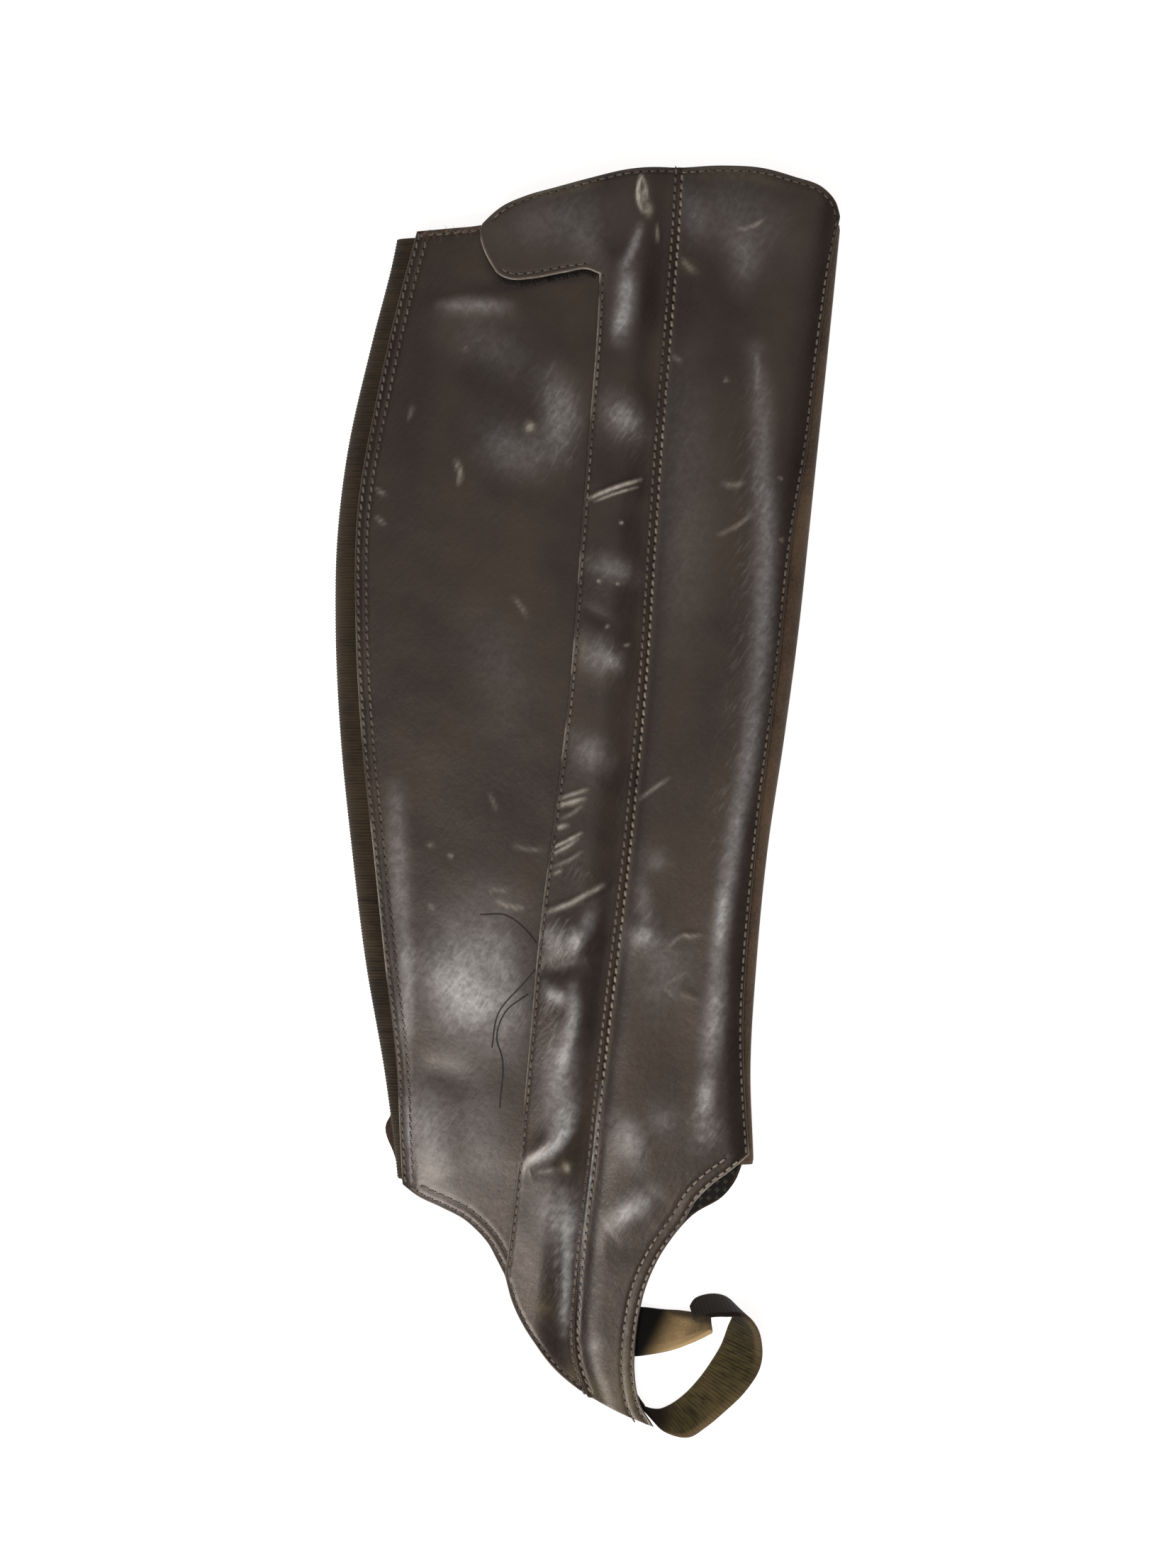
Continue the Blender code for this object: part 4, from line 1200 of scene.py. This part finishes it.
COVER_SCUFF = (
    (0.62, 1, (-0.2, 108.8), (9, 112.6), (18.4, 115.6)),
    (0.4, 0.8, (2, 107.7), (9, 110.4), (17.4, 113)),
    (0.6, 0.7, (-10.1, 1.8), (-5, 3.6), (-0.3, 5)),
    (0.65, 0.75, (-11, -0.5), (-5, 0.8), (-1.3, 1.8)),
    (0.6, 0.3, (-10.1, -5.7), (-6, -3.6), (-2, -0.5)),
    (0.75, 0.7, (-11.4, -8.9), (-7.8, -7.9)),
    (0.5, 0.85, (-12.6, -15.7), (-7, -13), (-2.6, -10.5)),
    (0.5, 0.8, (-13, -18), (-8, -15.6), (-3.9, -12.8)),
    (0.55, 0.4, (-12.6, -22.5), (-7, -20.2), (-2.6, -17.3)),
    (0.55, 0.55, (-12.6, -25.4), (-9.7, -23.8)),
    (0.8, 0.7, (-15.4, -38.9), (-8, -36.4), (0, -32.2), (5, -29.5)),
    (0.6, 1.2, (18.6, 224.6), (17.6, 220), (17.9, 215), (19.4, 211.6)),
    (0.5, 0.7, (18.9, 224.4), (20.2, 221), (20.9, 216.5)),
    (1, 0.55, (19, 220), (19.4, 215)),
    (1.4, 0.45, (20.2, 214.6), (21, 212.6), (21.2, 210.8)),
    (0.5, 0.4, (24.4, 207.5), (24.7, 201)),
    (0.5, 0.9, (11.3, 100.5), (11.8, 99.9)),
    (0.45, 0.8, (3.2, 79.6), (3.8, 79)),
    (0.45, 0.8, (10, 78.6), (10.6, 78)),
    (0.5, 0.5, (6, 62.6), (7, 63.6)),
    (0.5, 0.5, (12.6, 56.2), (14.4, 56.8)),
    (0.9, 0.45, (-8.6, -129.2), (-7.4, -132)),
)
COVER_RIM = ((205, 184, 1), (183, 135, 0.75), (92, 76, 0.8), (61, 44, 1),
             (31, 13, 1), (-20, -110, 0.6))
SEAM_ROW_LEFT = inset(CENTRE_SEAM, 1.0, 70)
COVER_ROW = inset(COVER_EDGE, -OUTER_ROW, 50)
COVER_FOOT_ROW = inset(COVER_FOOT, OUTER_ROW, 20)[1:-1]
TAB_ROWS = [inset(TAB_UNDERSIDE[:-1], 2.2, 30)[2:], inset(TAB_TOP[1:], -1.5, 30)]


def cover_height(across, up):
    """The cover leaves the seam level with the front and rises onto the back panel."""
    inward = seam_at(up) - across
    rise = LAP * ease(inward / COVER_RISE)
    over_tab = ease((up - TAB_LIFT_FROM) / (TAB_LIFT_FULL - TAB_LIFT_FROM))
    tab = TAB_LIFT * over_tab * ease((inward - TAB_RISE_FROM) / TAB_RISE_OVER)
    return leather_height(across, up) + rise + tab


def cover_surface(across, up):
    from_seam = across - seam_at(up)
    relief = np.zeros(np.shape(across))
    for middle, side, half_width, half_length, height in PILLOWS:
        beside = from_seam - side
        bell = (beside / half_width) ** 2 + ((up - middle + PILLOW_LEAN * beside) / half_length) ** 2
        relief += height * np.exp(-bell)
    relief *= ease(-from_seam / 7.0)
    relief += soft(COVER_FOLDS, across, up) + 0.08 * (1 + uneven(across, up, 22.0, 6))
    relief += 0.35 * np.exp(-(from_seam / 0.8) ** 2)
    for path in (SEAM_ROW_LEFT, COVER_ROW, COVER_FOOT_ROW, *TAB_ROWS):
        relief += groove(path, across, up, 0.16)
    return cover_height(across, up) + relief


join = COVER_EDGE[-1][1]
body_seam = np.array([p for p in CENTRE_SEAM if p[1] < join] + [(seam_at(join), join)])
cover_rows = ramped(395.0, 0.5, 0.62, 3.0, 0.6)
cover_columns = ramped(25.0, 0.4, 0.62, 4.5, 4.0)
edge = run(COVER_EDGE, cover_rows)
seam = run(body_seam, cover_rows)
shared = COVER_EDGE[-1] + cover_columns[:, None] * (seam[-1] - COVER_EDGE[-1])
body = patch(edge, seam, run(COVER_FOOT, cover_columns), shared)
tab_seam = np.array([seam[-1]] + [p for p in CENTRE_SEAM if p[1] > join])
tab_rows = ramped(38.0, 0.5, 0.9, 4.0, 4.0)
end = run(TAB_END, tab_rows)
bottom = np.concatenate([run(TAB_UNDERSIDE, ramped(41.0, 0.5, 0.9, 2.0, 0.6)), shared[1:]])
tab = patch(end, run(tab_seam, tab_rows), bottom, run(TAB_TOP, lengths(bottom)))
grids = [lift(body, cover_surface), lift(tab, cover_surface)]
marks = marked(grids, rub=COVER_RUB_AND_HIGHLIGHT, hatch=COVER_HATCH_AND_GLINT, plum=COVER_PAINTED_SHADE, dust=COVER_DUST,
               scuff=COVER_SCUFF)
seamward = [seam_at(grid[..., 1]) - grid[..., 0] for grid in grids]
marks["worn"] = [rim_wear(COVER_RIM, grid[..., 1]) * ease((inward - 2) / 3)
                 for grid, inward in zip(grids, seamward)]
marks["flush"] = [at_seam(grid[..., 0], grid[..., 1]) for grid in grids]
cover = sheet("zip_cover_leather", grids, LEATHER, [cover_leather, cut_leather], marks)
belongs(cover, "cover_leather", "zip_cover")
sew("centre_seam_stitches", [SEAM_ROW_LEFT], cover_surface, brown_thread, slant=0.18, radius=0.44)
sew("zip_cover_stitches", [COVER_ROW, COVER_FOOT_ROW, *TAB_ROWS], cover_surface, brown_thread)
print("zip cover faces:", len(cover.data.polygons))

# %% [markdown]
# ## Elastic gusset
# The gusset is the part that stretches round the calf. It comes out from under the back panel, turns
# round the fold and is sewn to the suede underneath. Its ribs are modelled, four points to each, so
# they show along the outline too.

# %% Gusset
GUSSET_UNDER_LEATHER = 8.0
GUSSET_OVER_SUEDE = 13.0
RIB_HEIGHT = 0.13
# Creases of the gusset, darkened with painted shade.
GUSSET_CREASES = (
    (0.7, 1, (-95, -34.5), (-70, -35)),
    (0.7, 1, (-90, -82), (-66, -82)),
    (2, 0.5, (-84, 40), (-82, 90), (-80, 140)),
    (3, 0.5, (-72, 200), (-76, 180)),
)
GUSSET_FADED = (
    (6, 0.35, (-89, -38), (-86, -60)),
    (3, 0.25, (-94, 80), (-94, 20)),
    (3, 0.2, (-90, 150), (-84, 165)),
)


def roll_under_leather(side, up, start, count, loose=0.0):
    """Points one lap inside the leather's form, from a start across to the fold."""
    fold = form_at(up)[0 if side < 0 else 1] + side * LAP
    shares = (1.0 - even(count)) ** 2
    across = fold + (start - fold) * shares
    height = leather_height(across, np.full_like(across, up))
    along = np.stack([np.gradient(across), np.gradient(height)], axis=1)
    along[-1] = (0.0, -1.0)
    along /= np.linalg.norm(along, axis=1)[:, None]
    inward = np.stack([side * along[:, 1], -side * along[:, 0]], axis=1)
    depth = LAP + loose * np.sqrt(shares)
    return np.stack([across, height], axis=1) + depth[:, None] * inward


def turn_to_underside(side, up, floor_level, reach, count):
    """Quarter ellipse from the fold down to the flat underside."""
    fold = form_at(up)[0 if side < 0 else 1]
    low = FOLD_SHARE * form_at(up)[2]
    angle = even(count)[1:] * np.pi / 2
    across = fold - side * reach * (1 - np.cos(angle))
    height = floor_level + (low - floor_level) * (1 - np.sin(angle))
    return np.stack([across, height], axis=1)


def build_gusset():
    level = SUEDE + GAP
    edge = np.array(BACK_EDGE)
    ups = np.arange(GUSSET_FOOT, GUSSET_TOP, RIB / 4)
    lines = []
    for up in ups:
        start = smooth(edge[:, 1], edge[:, 0], up) + GUSSET_UNDER_LEATHER
        fold, _, high = form_at(up)
        reach = GUSSET_TURN_SHARE * high
        flange = [(fold + reach + (GUSSET_OVER_SUEDE - reach) * share, level) for share in (0.5, 1.0)]
        path = np.concatenate([roll_under_leather(-1, up, start, 11),
                               turn_to_underside(-1, up, level, reach, 7), flange])
        lines.append([(x, up, z) for x, z in path])
    grid = np.array(lines).transpose(1, 0, 2)
    slope = np.gradient(grid, axis=0)
    outward = np.stack([slope[..., 2], np.zeros(slope.shape[:2]), -slope[..., 0]], axis=-1)
    outward /= np.linalg.norm(outward, axis=-1)[..., None]
    outward *= np.where(outward[0, 0, 2] > 0, 1.0, -1.0)
    rib = RIB_HEIGHT * np.cos(2 * np.pi * grid[..., 1] / RIB)
    held = np.ones(len(grid))
    held[:4] = 0.0
    held[-3:] = 0.0
    grid = grid + outward * (rib * held[:, None])[..., None]
    section = grid[:, :, ::2]
    steps = np.linalg.norm(np.diff(section, axis=0, prepend=section[:1]), axis=-1)
    distance = np.cumsum(steps, axis=0)
    # Painted shade along the creases.
    shade = soft(GUSSET_CREASES, grid[..., 0], grid[..., 1])
    faded = soft(GUSSET_FADED, grid[..., 0], grid[..., 1])
    piece = sheet("gusset_elastic", [grid], ELASTIC, [elastic],
                  {"across": [distance], "along": [grid[..., 1]], "dark_painted_shade": [shade], "pale": [faded]},
                  faces_down=True, round_edge=0.2)
    belongs(piece, "elastic", "gusset")
    print("gusset faces:", len(piece.data.polygons))


# %% [markdown]
# ## Inner panel
# The inner side of the chap is suede, for grip on the horse. It lies flat on the table, turns up
# round the shin fold and slips under the front panel, so only a sliver of it shows from above.

# %% Inner panel and lining
SUEDE_UNDER_LEATHER = 4.0
SUEDE_LOOSE = 0.8
SUEDE_LOOSE_FROM = -95.0
SUEDE_LOOSE_OVER = 25.0
LINING_MARGIN = 14.0
LINING_INSET = 0.8
LINING_CLEAR = 2.0
SUEDE_LEFT = (
    (-67.5, -136), (-70.2, -127), (-73.4, -116.5), (-70.2, -110), (-69.5, -98), (-75.4, -57),
    (-80.3, -17), (-84.4, 24), (-86.2, 64), (-85.6, 95), (-82.1, 125), (-73, 166),
    (-64.5, 199),
)
SUEDE_FOOT = (
    (-67.5, -136), (-53.1, -143.5), (-41, -151), (-33, -161.5), (-25, -176.5),
    (-16, -188), (-2, -196), (12, -198.6), (17, -190), (19.5, -177.5), (23.5, -167),
    (29.8, -157.2), (37.5, -148.6), (48.8, -141.5), (53, -136), (55.2, -130),
)
SUEDE_TOP = (
    (-64.5, 199), (-38, 203), (0, 217), (32, 222.5), (60, 222), (76, 216),
    (86, 208),
)


def build_inner_panel():
    seam = np.array(SHIN_SEAM)
    ups = np.linspace(SUEDE_FOOT[-1][1], SUEDE_TOP[-1][1], 190)
    side, rolls = [], []
    for up in ups:
        fold, high = form_at(up)[1:]
        reach = UNDER_SHARE * high
        side.append((fold - reach, up))
        start = smooth(seam[:, 1], seam[:, 0], max(up, SHIN_SEAM[0][1])) - SUEDE_UNDER_LEATHER
        loose = SUEDE_LOOSE * ease((SUEDE_LOOSE_FROM - up) / SUEDE_LOOSE_OVER)
        path = np.concatenate([roll_under_leather(1, up, start, 12, loose),
                               turn_to_underside(1, up, 0.0, reach, 9)])
        rolls.append([(x, up, z) for x, z in path[::-1]])
    side = np.array(side)
    foot, top = np.array(SUEDE_FOOT), np.array(SUEDE_TOP)
    foot[-1], top[-1] = side[0], side[-1]
    columns = even(70)
    flat = patch(run(SUEDE_LEFT, lengths(side)), side, run(foot, columns), run(top, columns))
    grids = [np.dstack([flat, np.zeros(flat.shape[:2])]), np.array(rolls).transpose(1, 0, 2)]
    piece = sheet("inner_panel_suede", grids, SUEDE, [brown_suede, cut_leather], faces_down=True)
    belongs(piece, "suede", "inner_panel")
    print("inner panel faces:", len(piece.data.polygons))


def build_lining():
    ups = np.linspace(-142.0, 196.0, 90)
    left = np.stack([form_at(ups)[0] + LINING_MARGIN, ups], axis=1)
    ups = np.linspace(-132.0, 207.0, 90)
    fold, high = form_at(ups)[1:]
    right = np.stack([fold - UNDER_SHARE * high - LINING_CLEAR, ups], axis=1)
    foot = np.array([p for p in SUEDE_FOOT if left[0][0] < p[0] < right[0][0] - LINING_CLEAR])
    foot = np.concatenate([left[:1], foot + (0.0, LINING_INSET), right[:1]])
    top = np.array([p for p in SUEDE_TOP if left[-1][0] < p[0] < right[-1][0] - LINING_CLEAR])
    top = np.concatenate([left[-1:], top - (0.0, LINING_CLEAR), right[-1:]])
    columns = even(50)
    flat = patch(left, right, run(foot, columns), run(top, columns))
    grid = np.dstack([flat, np.full(flat.shape[:2], SUEDE + GAP + LINING)])
    piece = sheet("mesh_lining_sheet", [grid], LINING, [mesh_lining], round_edge=0.2)
    belongs(piece, "mesh_lining", "lining")
    print("lining faces:", len(piece.data.polygons))


# %% [markdown]
# ## Zip
# A zip lies under the cover, from the calf to the ankle: a woven tape, and teeth moulded on its two
# edges that mesh in the middle. The cover hides it from above, and it still shows from the ends.

# %% Zip tape, teeth and fastener
TAPE_LEFT = 22.0
TAPE_RIGHT = 9.0
CHAIN_LEFT = 13.0
CHAIN_RIGHT = 8.0
ZIP_TOP = 214.0
ZIP_FOOT = -176.0
TOOTH_PITCH = 2.6
TOOTH_HALF = (1.6, 0.55)
TOOTH_RINGS = ((0.0, 1.0), (0.9, 1.0), (1.25, 0.7))
TOOTH_CORNERS = ((-1, -1), (1, -1), (1, 1), (-1, 1))
FASTENER_AT = (-20.0, 202.0)
FASTENER_SIZE = (24.0, 12.0)
FASTENER = 1.0


def strip_grid(left_of_seam, right_of_seam, drop, rows, columns):
    ups = np.linspace(ZIP_FOOT, ZIP_TOP, rows)
    sides = np.linspace(-left_of_seam, right_of_seam, columns)
    flat = np.stack([np.stack([seam_at(ups) + side, ups], axis=1) for side in sides])
    return lift(flat, lambda x, y: leather_height(x, y) - drop)


def build_zip():
    grid = strip_grid(TAPE_LEFT, TAPE_RIGHT, LAP, 220, 24)
    piece = sheet("zip_tape_weave", [grid], TAPE, [zip_weave],
                  {"across": [grid[..., 0]], "along": [grid[..., 1]]}, round_edge=0.2)
    belongs(piece, "zip_tape", "zip_tape")
    verts, faces = [], []
    middle = (CHAIN_LEFT + CHAIN_RIGHT) / 2
    for count, up in enumerate(np.arange(ZIP_FOOT + 2.0, ZIP_TOP - 2.0, TOOTH_PITCH / 2)):
        side = 1 if count % 2 else -1
        x = float(seam_at(up)) - middle + side * 0.7
        z = float(leather_height(np.array(x), np.array(up))) - LAP + 0.15
        base = len(verts)
        for dz, shrink in TOOTH_RINGS:
            for sx, sy in TOOTH_CORNERS:
                narrow = 0.6 if sx == -side else 1.0
                verts.append((x + sx * TOOTH_HALF[0] * shrink,
                              up + sy * TOOTH_HALF[1] * shrink * narrow, z + dz))
        for ring in (0, 4):
            for j in range(4):
                k = (j + 1) % 4
                faces.append((base + ring + j, base + ring + k, base + ring + 4 + k, base + ring + 4 + j))
        faces.append((base + 3, base + 2, base + 1, base))
        faces.append((base + 8, base + 9, base + 10, base + 11))
    teeth = formed("zip_teeth", metres(np.array(verts)), faces, [acetal], flat_faces=True)
    rounded = teeth.modifiers.new("Moulded_corners", "BEVEL")
    rounded.width = 0.00012
    belongs(teeth, "zip_teeth", "zip_chain")
    print("teeth:", len(verts) // 12)


def build_fastener():
    across = FASTENER_AT[0] + FASTENER_SIZE[0] * (even(30) - 0.5)
    up = FASTENER_AT[1] + FASTENER_SIZE[1] * (even(16) - 0.5)
    flat = np.stack(np.meshgrid(across, up, indexing="ij"), axis=-1)
    level = GAP + FASTENER
    grid = lift(flat, lambda x, y: leather_height(x, y) + level)
    piece = sheet("hook_and_loop_pad", [grid], FASTENER, [hook_pile], round_edge=0.3)
    belongs(piece, "hook_and_loop", "tab_fastener")


# %% [markdown]
# ## Stirrup band
# A strap of ribbed olive webbing goes under the boot, and lies here pushed together into a loop.
# A tongue of tan suede is sewn to its upper end. Both are lofts between a far and a near edge that
# rise off the table, as in the solids.

# %% Tongue and strap
TONGUE = (
    ((8, -199, 3.8), (8, -182.5, 3.8)),
    ((17.5, -199.2, 4.2), (18.8, -181.5, 3.4)),
    ((24.1, -198, 6.5), (27, -182.5, 2.6)),
    ((31, -195.8, 10.5), (33, -183, 2.2)),
    ((37.8, -192.5, 14), (38.5, -184, 2)),
    ((44.2, -188.8, 15.5), (44, -185.3, 2)),
)
STRAP = (
    ((37.4, -184.9, 8.4), (36.4, -181.6, 3.6)),
    ((38.6, -185.8, 9.8), (38, -179.2, 1.9)),
    ((42.5, -184.2, 12.5), (42, -177.6, 1.5)),
    ((48.8, -183.2, 16), (48.5, -178.2, 1.3)),
    ((56, -183.8, 16.8), (52.5, -182.5, 1.2)),
    ((59.8, -188, 16), (50.2, -189, 1.2)),
    ((61.9, -195, 14), (47.8, -195.3, 1.2)),
    ((61.2, -202.6, 11.5), (44.2, -201.4, 1.2)),
    ((56.5, -210.5, 10.5), (39.6, -207.8, 1.2)),
    ((48.5, -218.5, 10), (34.3, -213.4, 1.3)),
    ((41.7, -224.3, 9), (29, -217, 2.2)),
    ((36.1, -228, 7.3), (25.4, -218.2, 3.4)),
    ((27.8, -226.6, 5), (20.5, -217.3, 4.3)),
    ((19, -218.3, 4.9), (14, -208.6, 4.8)),
    ((12, -213.2, 5.6), (9, -204, 5.6)),
)


def band(name, stations, rows, columns, finishes, slot, node, pale, dark_painted_shade):
    """Band lofted through stations that give its far and near edges."""
    far = run([station[0] for station in stations], even(rows))
    near_edge = run([station[1] for station in stations], even(rows))
    sides = even(columns)[:, None, None]
    grid = near_edge[None] * sides + far[None] * (1 - sides)
    middle = grid[columns // 2]
    along = np.concatenate(([0.0], np.cumsum(np.linalg.norm(np.diff(middle, axis=0), axis=1))))
    along = np.broadcast_to(along[None, :], grid.shape[:2])
    across = np.broadcast_to(np.linspace(0.0, 17.0, columns + 1)[:, None], grid.shape[:2])
    marks = {"along": along, "across": across, "pale": pale(across, along),
             "dark_painted_shade": dark_painted_shade(grid[..., 0], grid[..., 1])}
    piece = sheet(name, [grid], WEBBING, finishes, {mark: [values] for mark, values in marks.items()},
                  centred=True, round_edge=0.6)
    belongs(piece, slot, node)
    print(name, "faces:", len(piece.data.polygons))


TONGUE_UNDER_FLAP = 22.0
TONGUE_CLEAN_OVER = 13.0
TONGUE_END = 33.0
# Painted shade on the strap: dark at its curl by the tongue and black where its end runs under the tip.
STRAP_PAINTED_SHADE = (
    (5, 1.4, (30, -183), (44, -181), (54, -184.5), (56, -188)),
    (7.5, 1.3, (10, -208), (24, -222), (31, -224)),
    (1.2, 0.6, (36, -217.5), (40, -222)),
    (0.5, 0.4, (44.5, -201.4), (52, -200.5)),
)


def tongue_painted_shade(across, up):
    """Painted shade: black where it comes out from under the flap and along its upper edge."""
    root = 1.0 - ease((across - 0.5 * (up + 190.0) - TONGUE_UNDER_FLAP) / TONGUE_CLEAN_OVER)
    upper = ease((up + 0.12 * (across - 34.0) + 187.5) / 3.0)
    return np.maximum(root, 0.85 * upper)


# Painted shade of the strap, from its table.
def strap_painted_shade(across, up):
    return np.clip(soft(STRAP_PAINTED_SHADE, across, up), 0.0, 1.0)


def tongue_pale(across, along):
    """The cut lower edge of the tongue is bare tan leather, widest at its end."""
    lower = 1.0 - ease((across - 2.0 - 0.03 * along) / 0.8)
    return np.maximum(lower, ease((along - TONGUE_END) / 2.0))


def strap_pale(across, along):
    """The outer rim of the strap has lost its dye."""
    return 0.55 * (1.0 - ease((across - 1.6) / 1.6)) * (0.6 + 0.4 * np.sin(along / 9.0))


build_gusset()
build_inner_panel()
build_lining()
build_zip()
build_fastener()
band("strap_tongue_suede", TONGUE, 60, 30, [tan_suede, tan_edge], "tan_suede", "strap_tongue",
     tongue_pale, tongue_painted_shade)
band("stirrup_strap_webbing", STRAP, 220, 26, [webbing], "webbing", "stirrup_strap",
     strap_pale, strap_painted_shade)

# %% [markdown]
# ## Loose threads
# Three dark threads have worked loose from the seams and lie on the back panel. Each is a thin
# curve with a round bevel that follows the leather's surface.

# %% Loose threads
LOOSE_THREADS = (
    ((-38.9, -39.9), (-30, -40.1), (-22.9, -45), (-18.8, -50)),
    ((-19.3, -59.7), (-22.9, -64), (-32.5, -75.4), (-34.8, -87.6)),
    ((-21.8, -68.3), (-30, -74.9), (-33, -84.3), (-31.2, -90.7), (-32, -109.2)),
)
LOOSE_RADIUS = 0.24


def build_loose_threads():
    for number, points in enumerate(LOOSE_THREADS, 1):
        path = run(points, even(40))
        level = back_surface(path[:, 0], path[:, 1]) + LOOSE_RADIUS
        curve = bpy.data.curves.new(f"loose_thread_{number}", "CURVE")
        curve.dimensions = "3D"
        curve.bevel_depth = LOOSE_RADIUS / 1000
        curve.bevel_resolution = 2
        curve.use_fill_caps = True
        line = curve.splines.new("POLY")
        line.points.add(len(path) - 1)
        places = metres(np.column_stack([path, level]))
        for point, place in zip(line.points, places):
            point.co = (*place, 1.0)
        curve.materials.append(dark_thread)
        belongs(put(curve.name, curve))


build_loose_threads()

# %% [markdown]
# Lint from the fastener hangs out under the tab, and a few thread ends are frayed at the top of the
# back panel. Such strands are thin cones with three sides, drawn at random from a fixed seed and
# joined into one mesh.

# %% Lint and frayed ends
LINT_COUNT = 420
FRAYED_COUNT = 36


def strands(name, roots, angles, sizes, bends, lifts, radius, finish):
    """Tapered strands that lie on the back panel, from roots, headings, lengths and bends."""
    steps = even(5)[None, :]
    turn = angles[:, None] + bends[:, None] * steps
    reach = sizes[:, None] * steps
    path = roots[:, None] + np.stack([reach * np.cos(turn), reach * np.sin(turn)], axis=-1)
    level = back_surface(path[..., 0], path[..., 1]) + radius + lifts[:, None] * np.sin(np.pi * steps)
    spin = np.linspace(0.0, 2 * np.pi, 3, endpoint=False)
    thick = radius * (1.0 - 0.6 * steps)[..., None]
    x = path[..., 0, None] - thick * np.sin(turn)[..., None] * np.cos(spin)
    y = path[..., 1, None] + thick * np.cos(turn)[..., None] * np.cos(spin)
    z = level[..., None] + thick * np.sin(spin)
    verts = np.stack([x, y, z], axis=-1)
    count, rings = verts.shape[:2]
    faces = []
    for base in range(0, count * rings * 3, rings * 3):
        for ring in range(rings - 1):
            a = base + 3 * ring
            faces += [[a + j, a + (j + 1) % 3, a + 3 + (j + 1) % 3, a + 3 + j] for j in range(3)]
        faces += [[base + 2, base + 1, base], [base + 3 * rings - 3 + j for j in range(3)]]
    belongs(formed(name, metres(verts.reshape(-1, 3)), faces, [finish]))
    print(name, "strands:", count)


def build_strands():
    dice = np.random.default_rng(21)
    along = dice.uniform(0.12, 0.97, LINT_COUNT)
    roots = run(TAB_UNDERSIDE, np.sort(along)) + (0.0, 0.9)
    strands("tab_lint", roots, dice.uniform(-2.5, -0.6, LINT_COUNT), dice.uniform(1.4, 3.4, LINT_COUNT),
            dice.uniform(-1.2, 1.2, LINT_COUNT), dice.uniform(0.0, 0.9, LINT_COUNT), 0.16, lint)
    along = dice.uniform(0.02, 0.7, FRAYED_COUNT) ** 1.6
    roots = run(BACK_TOP[:4], np.sort(along)) - (0.0, 1.4)
    strands("frayed_ends", roots, dice.uniform(-0.9, 0.9, FRAYED_COUNT),
            dice.uniform(1.5, 4.0, FRAYED_COUNT), dice.uniform(-1.5, 1.5, FRAYED_COUNT),
            dice.uniform(0.0, 0.5, FRAYED_COUNT), 0.13, frayed_thread)


build_strands()
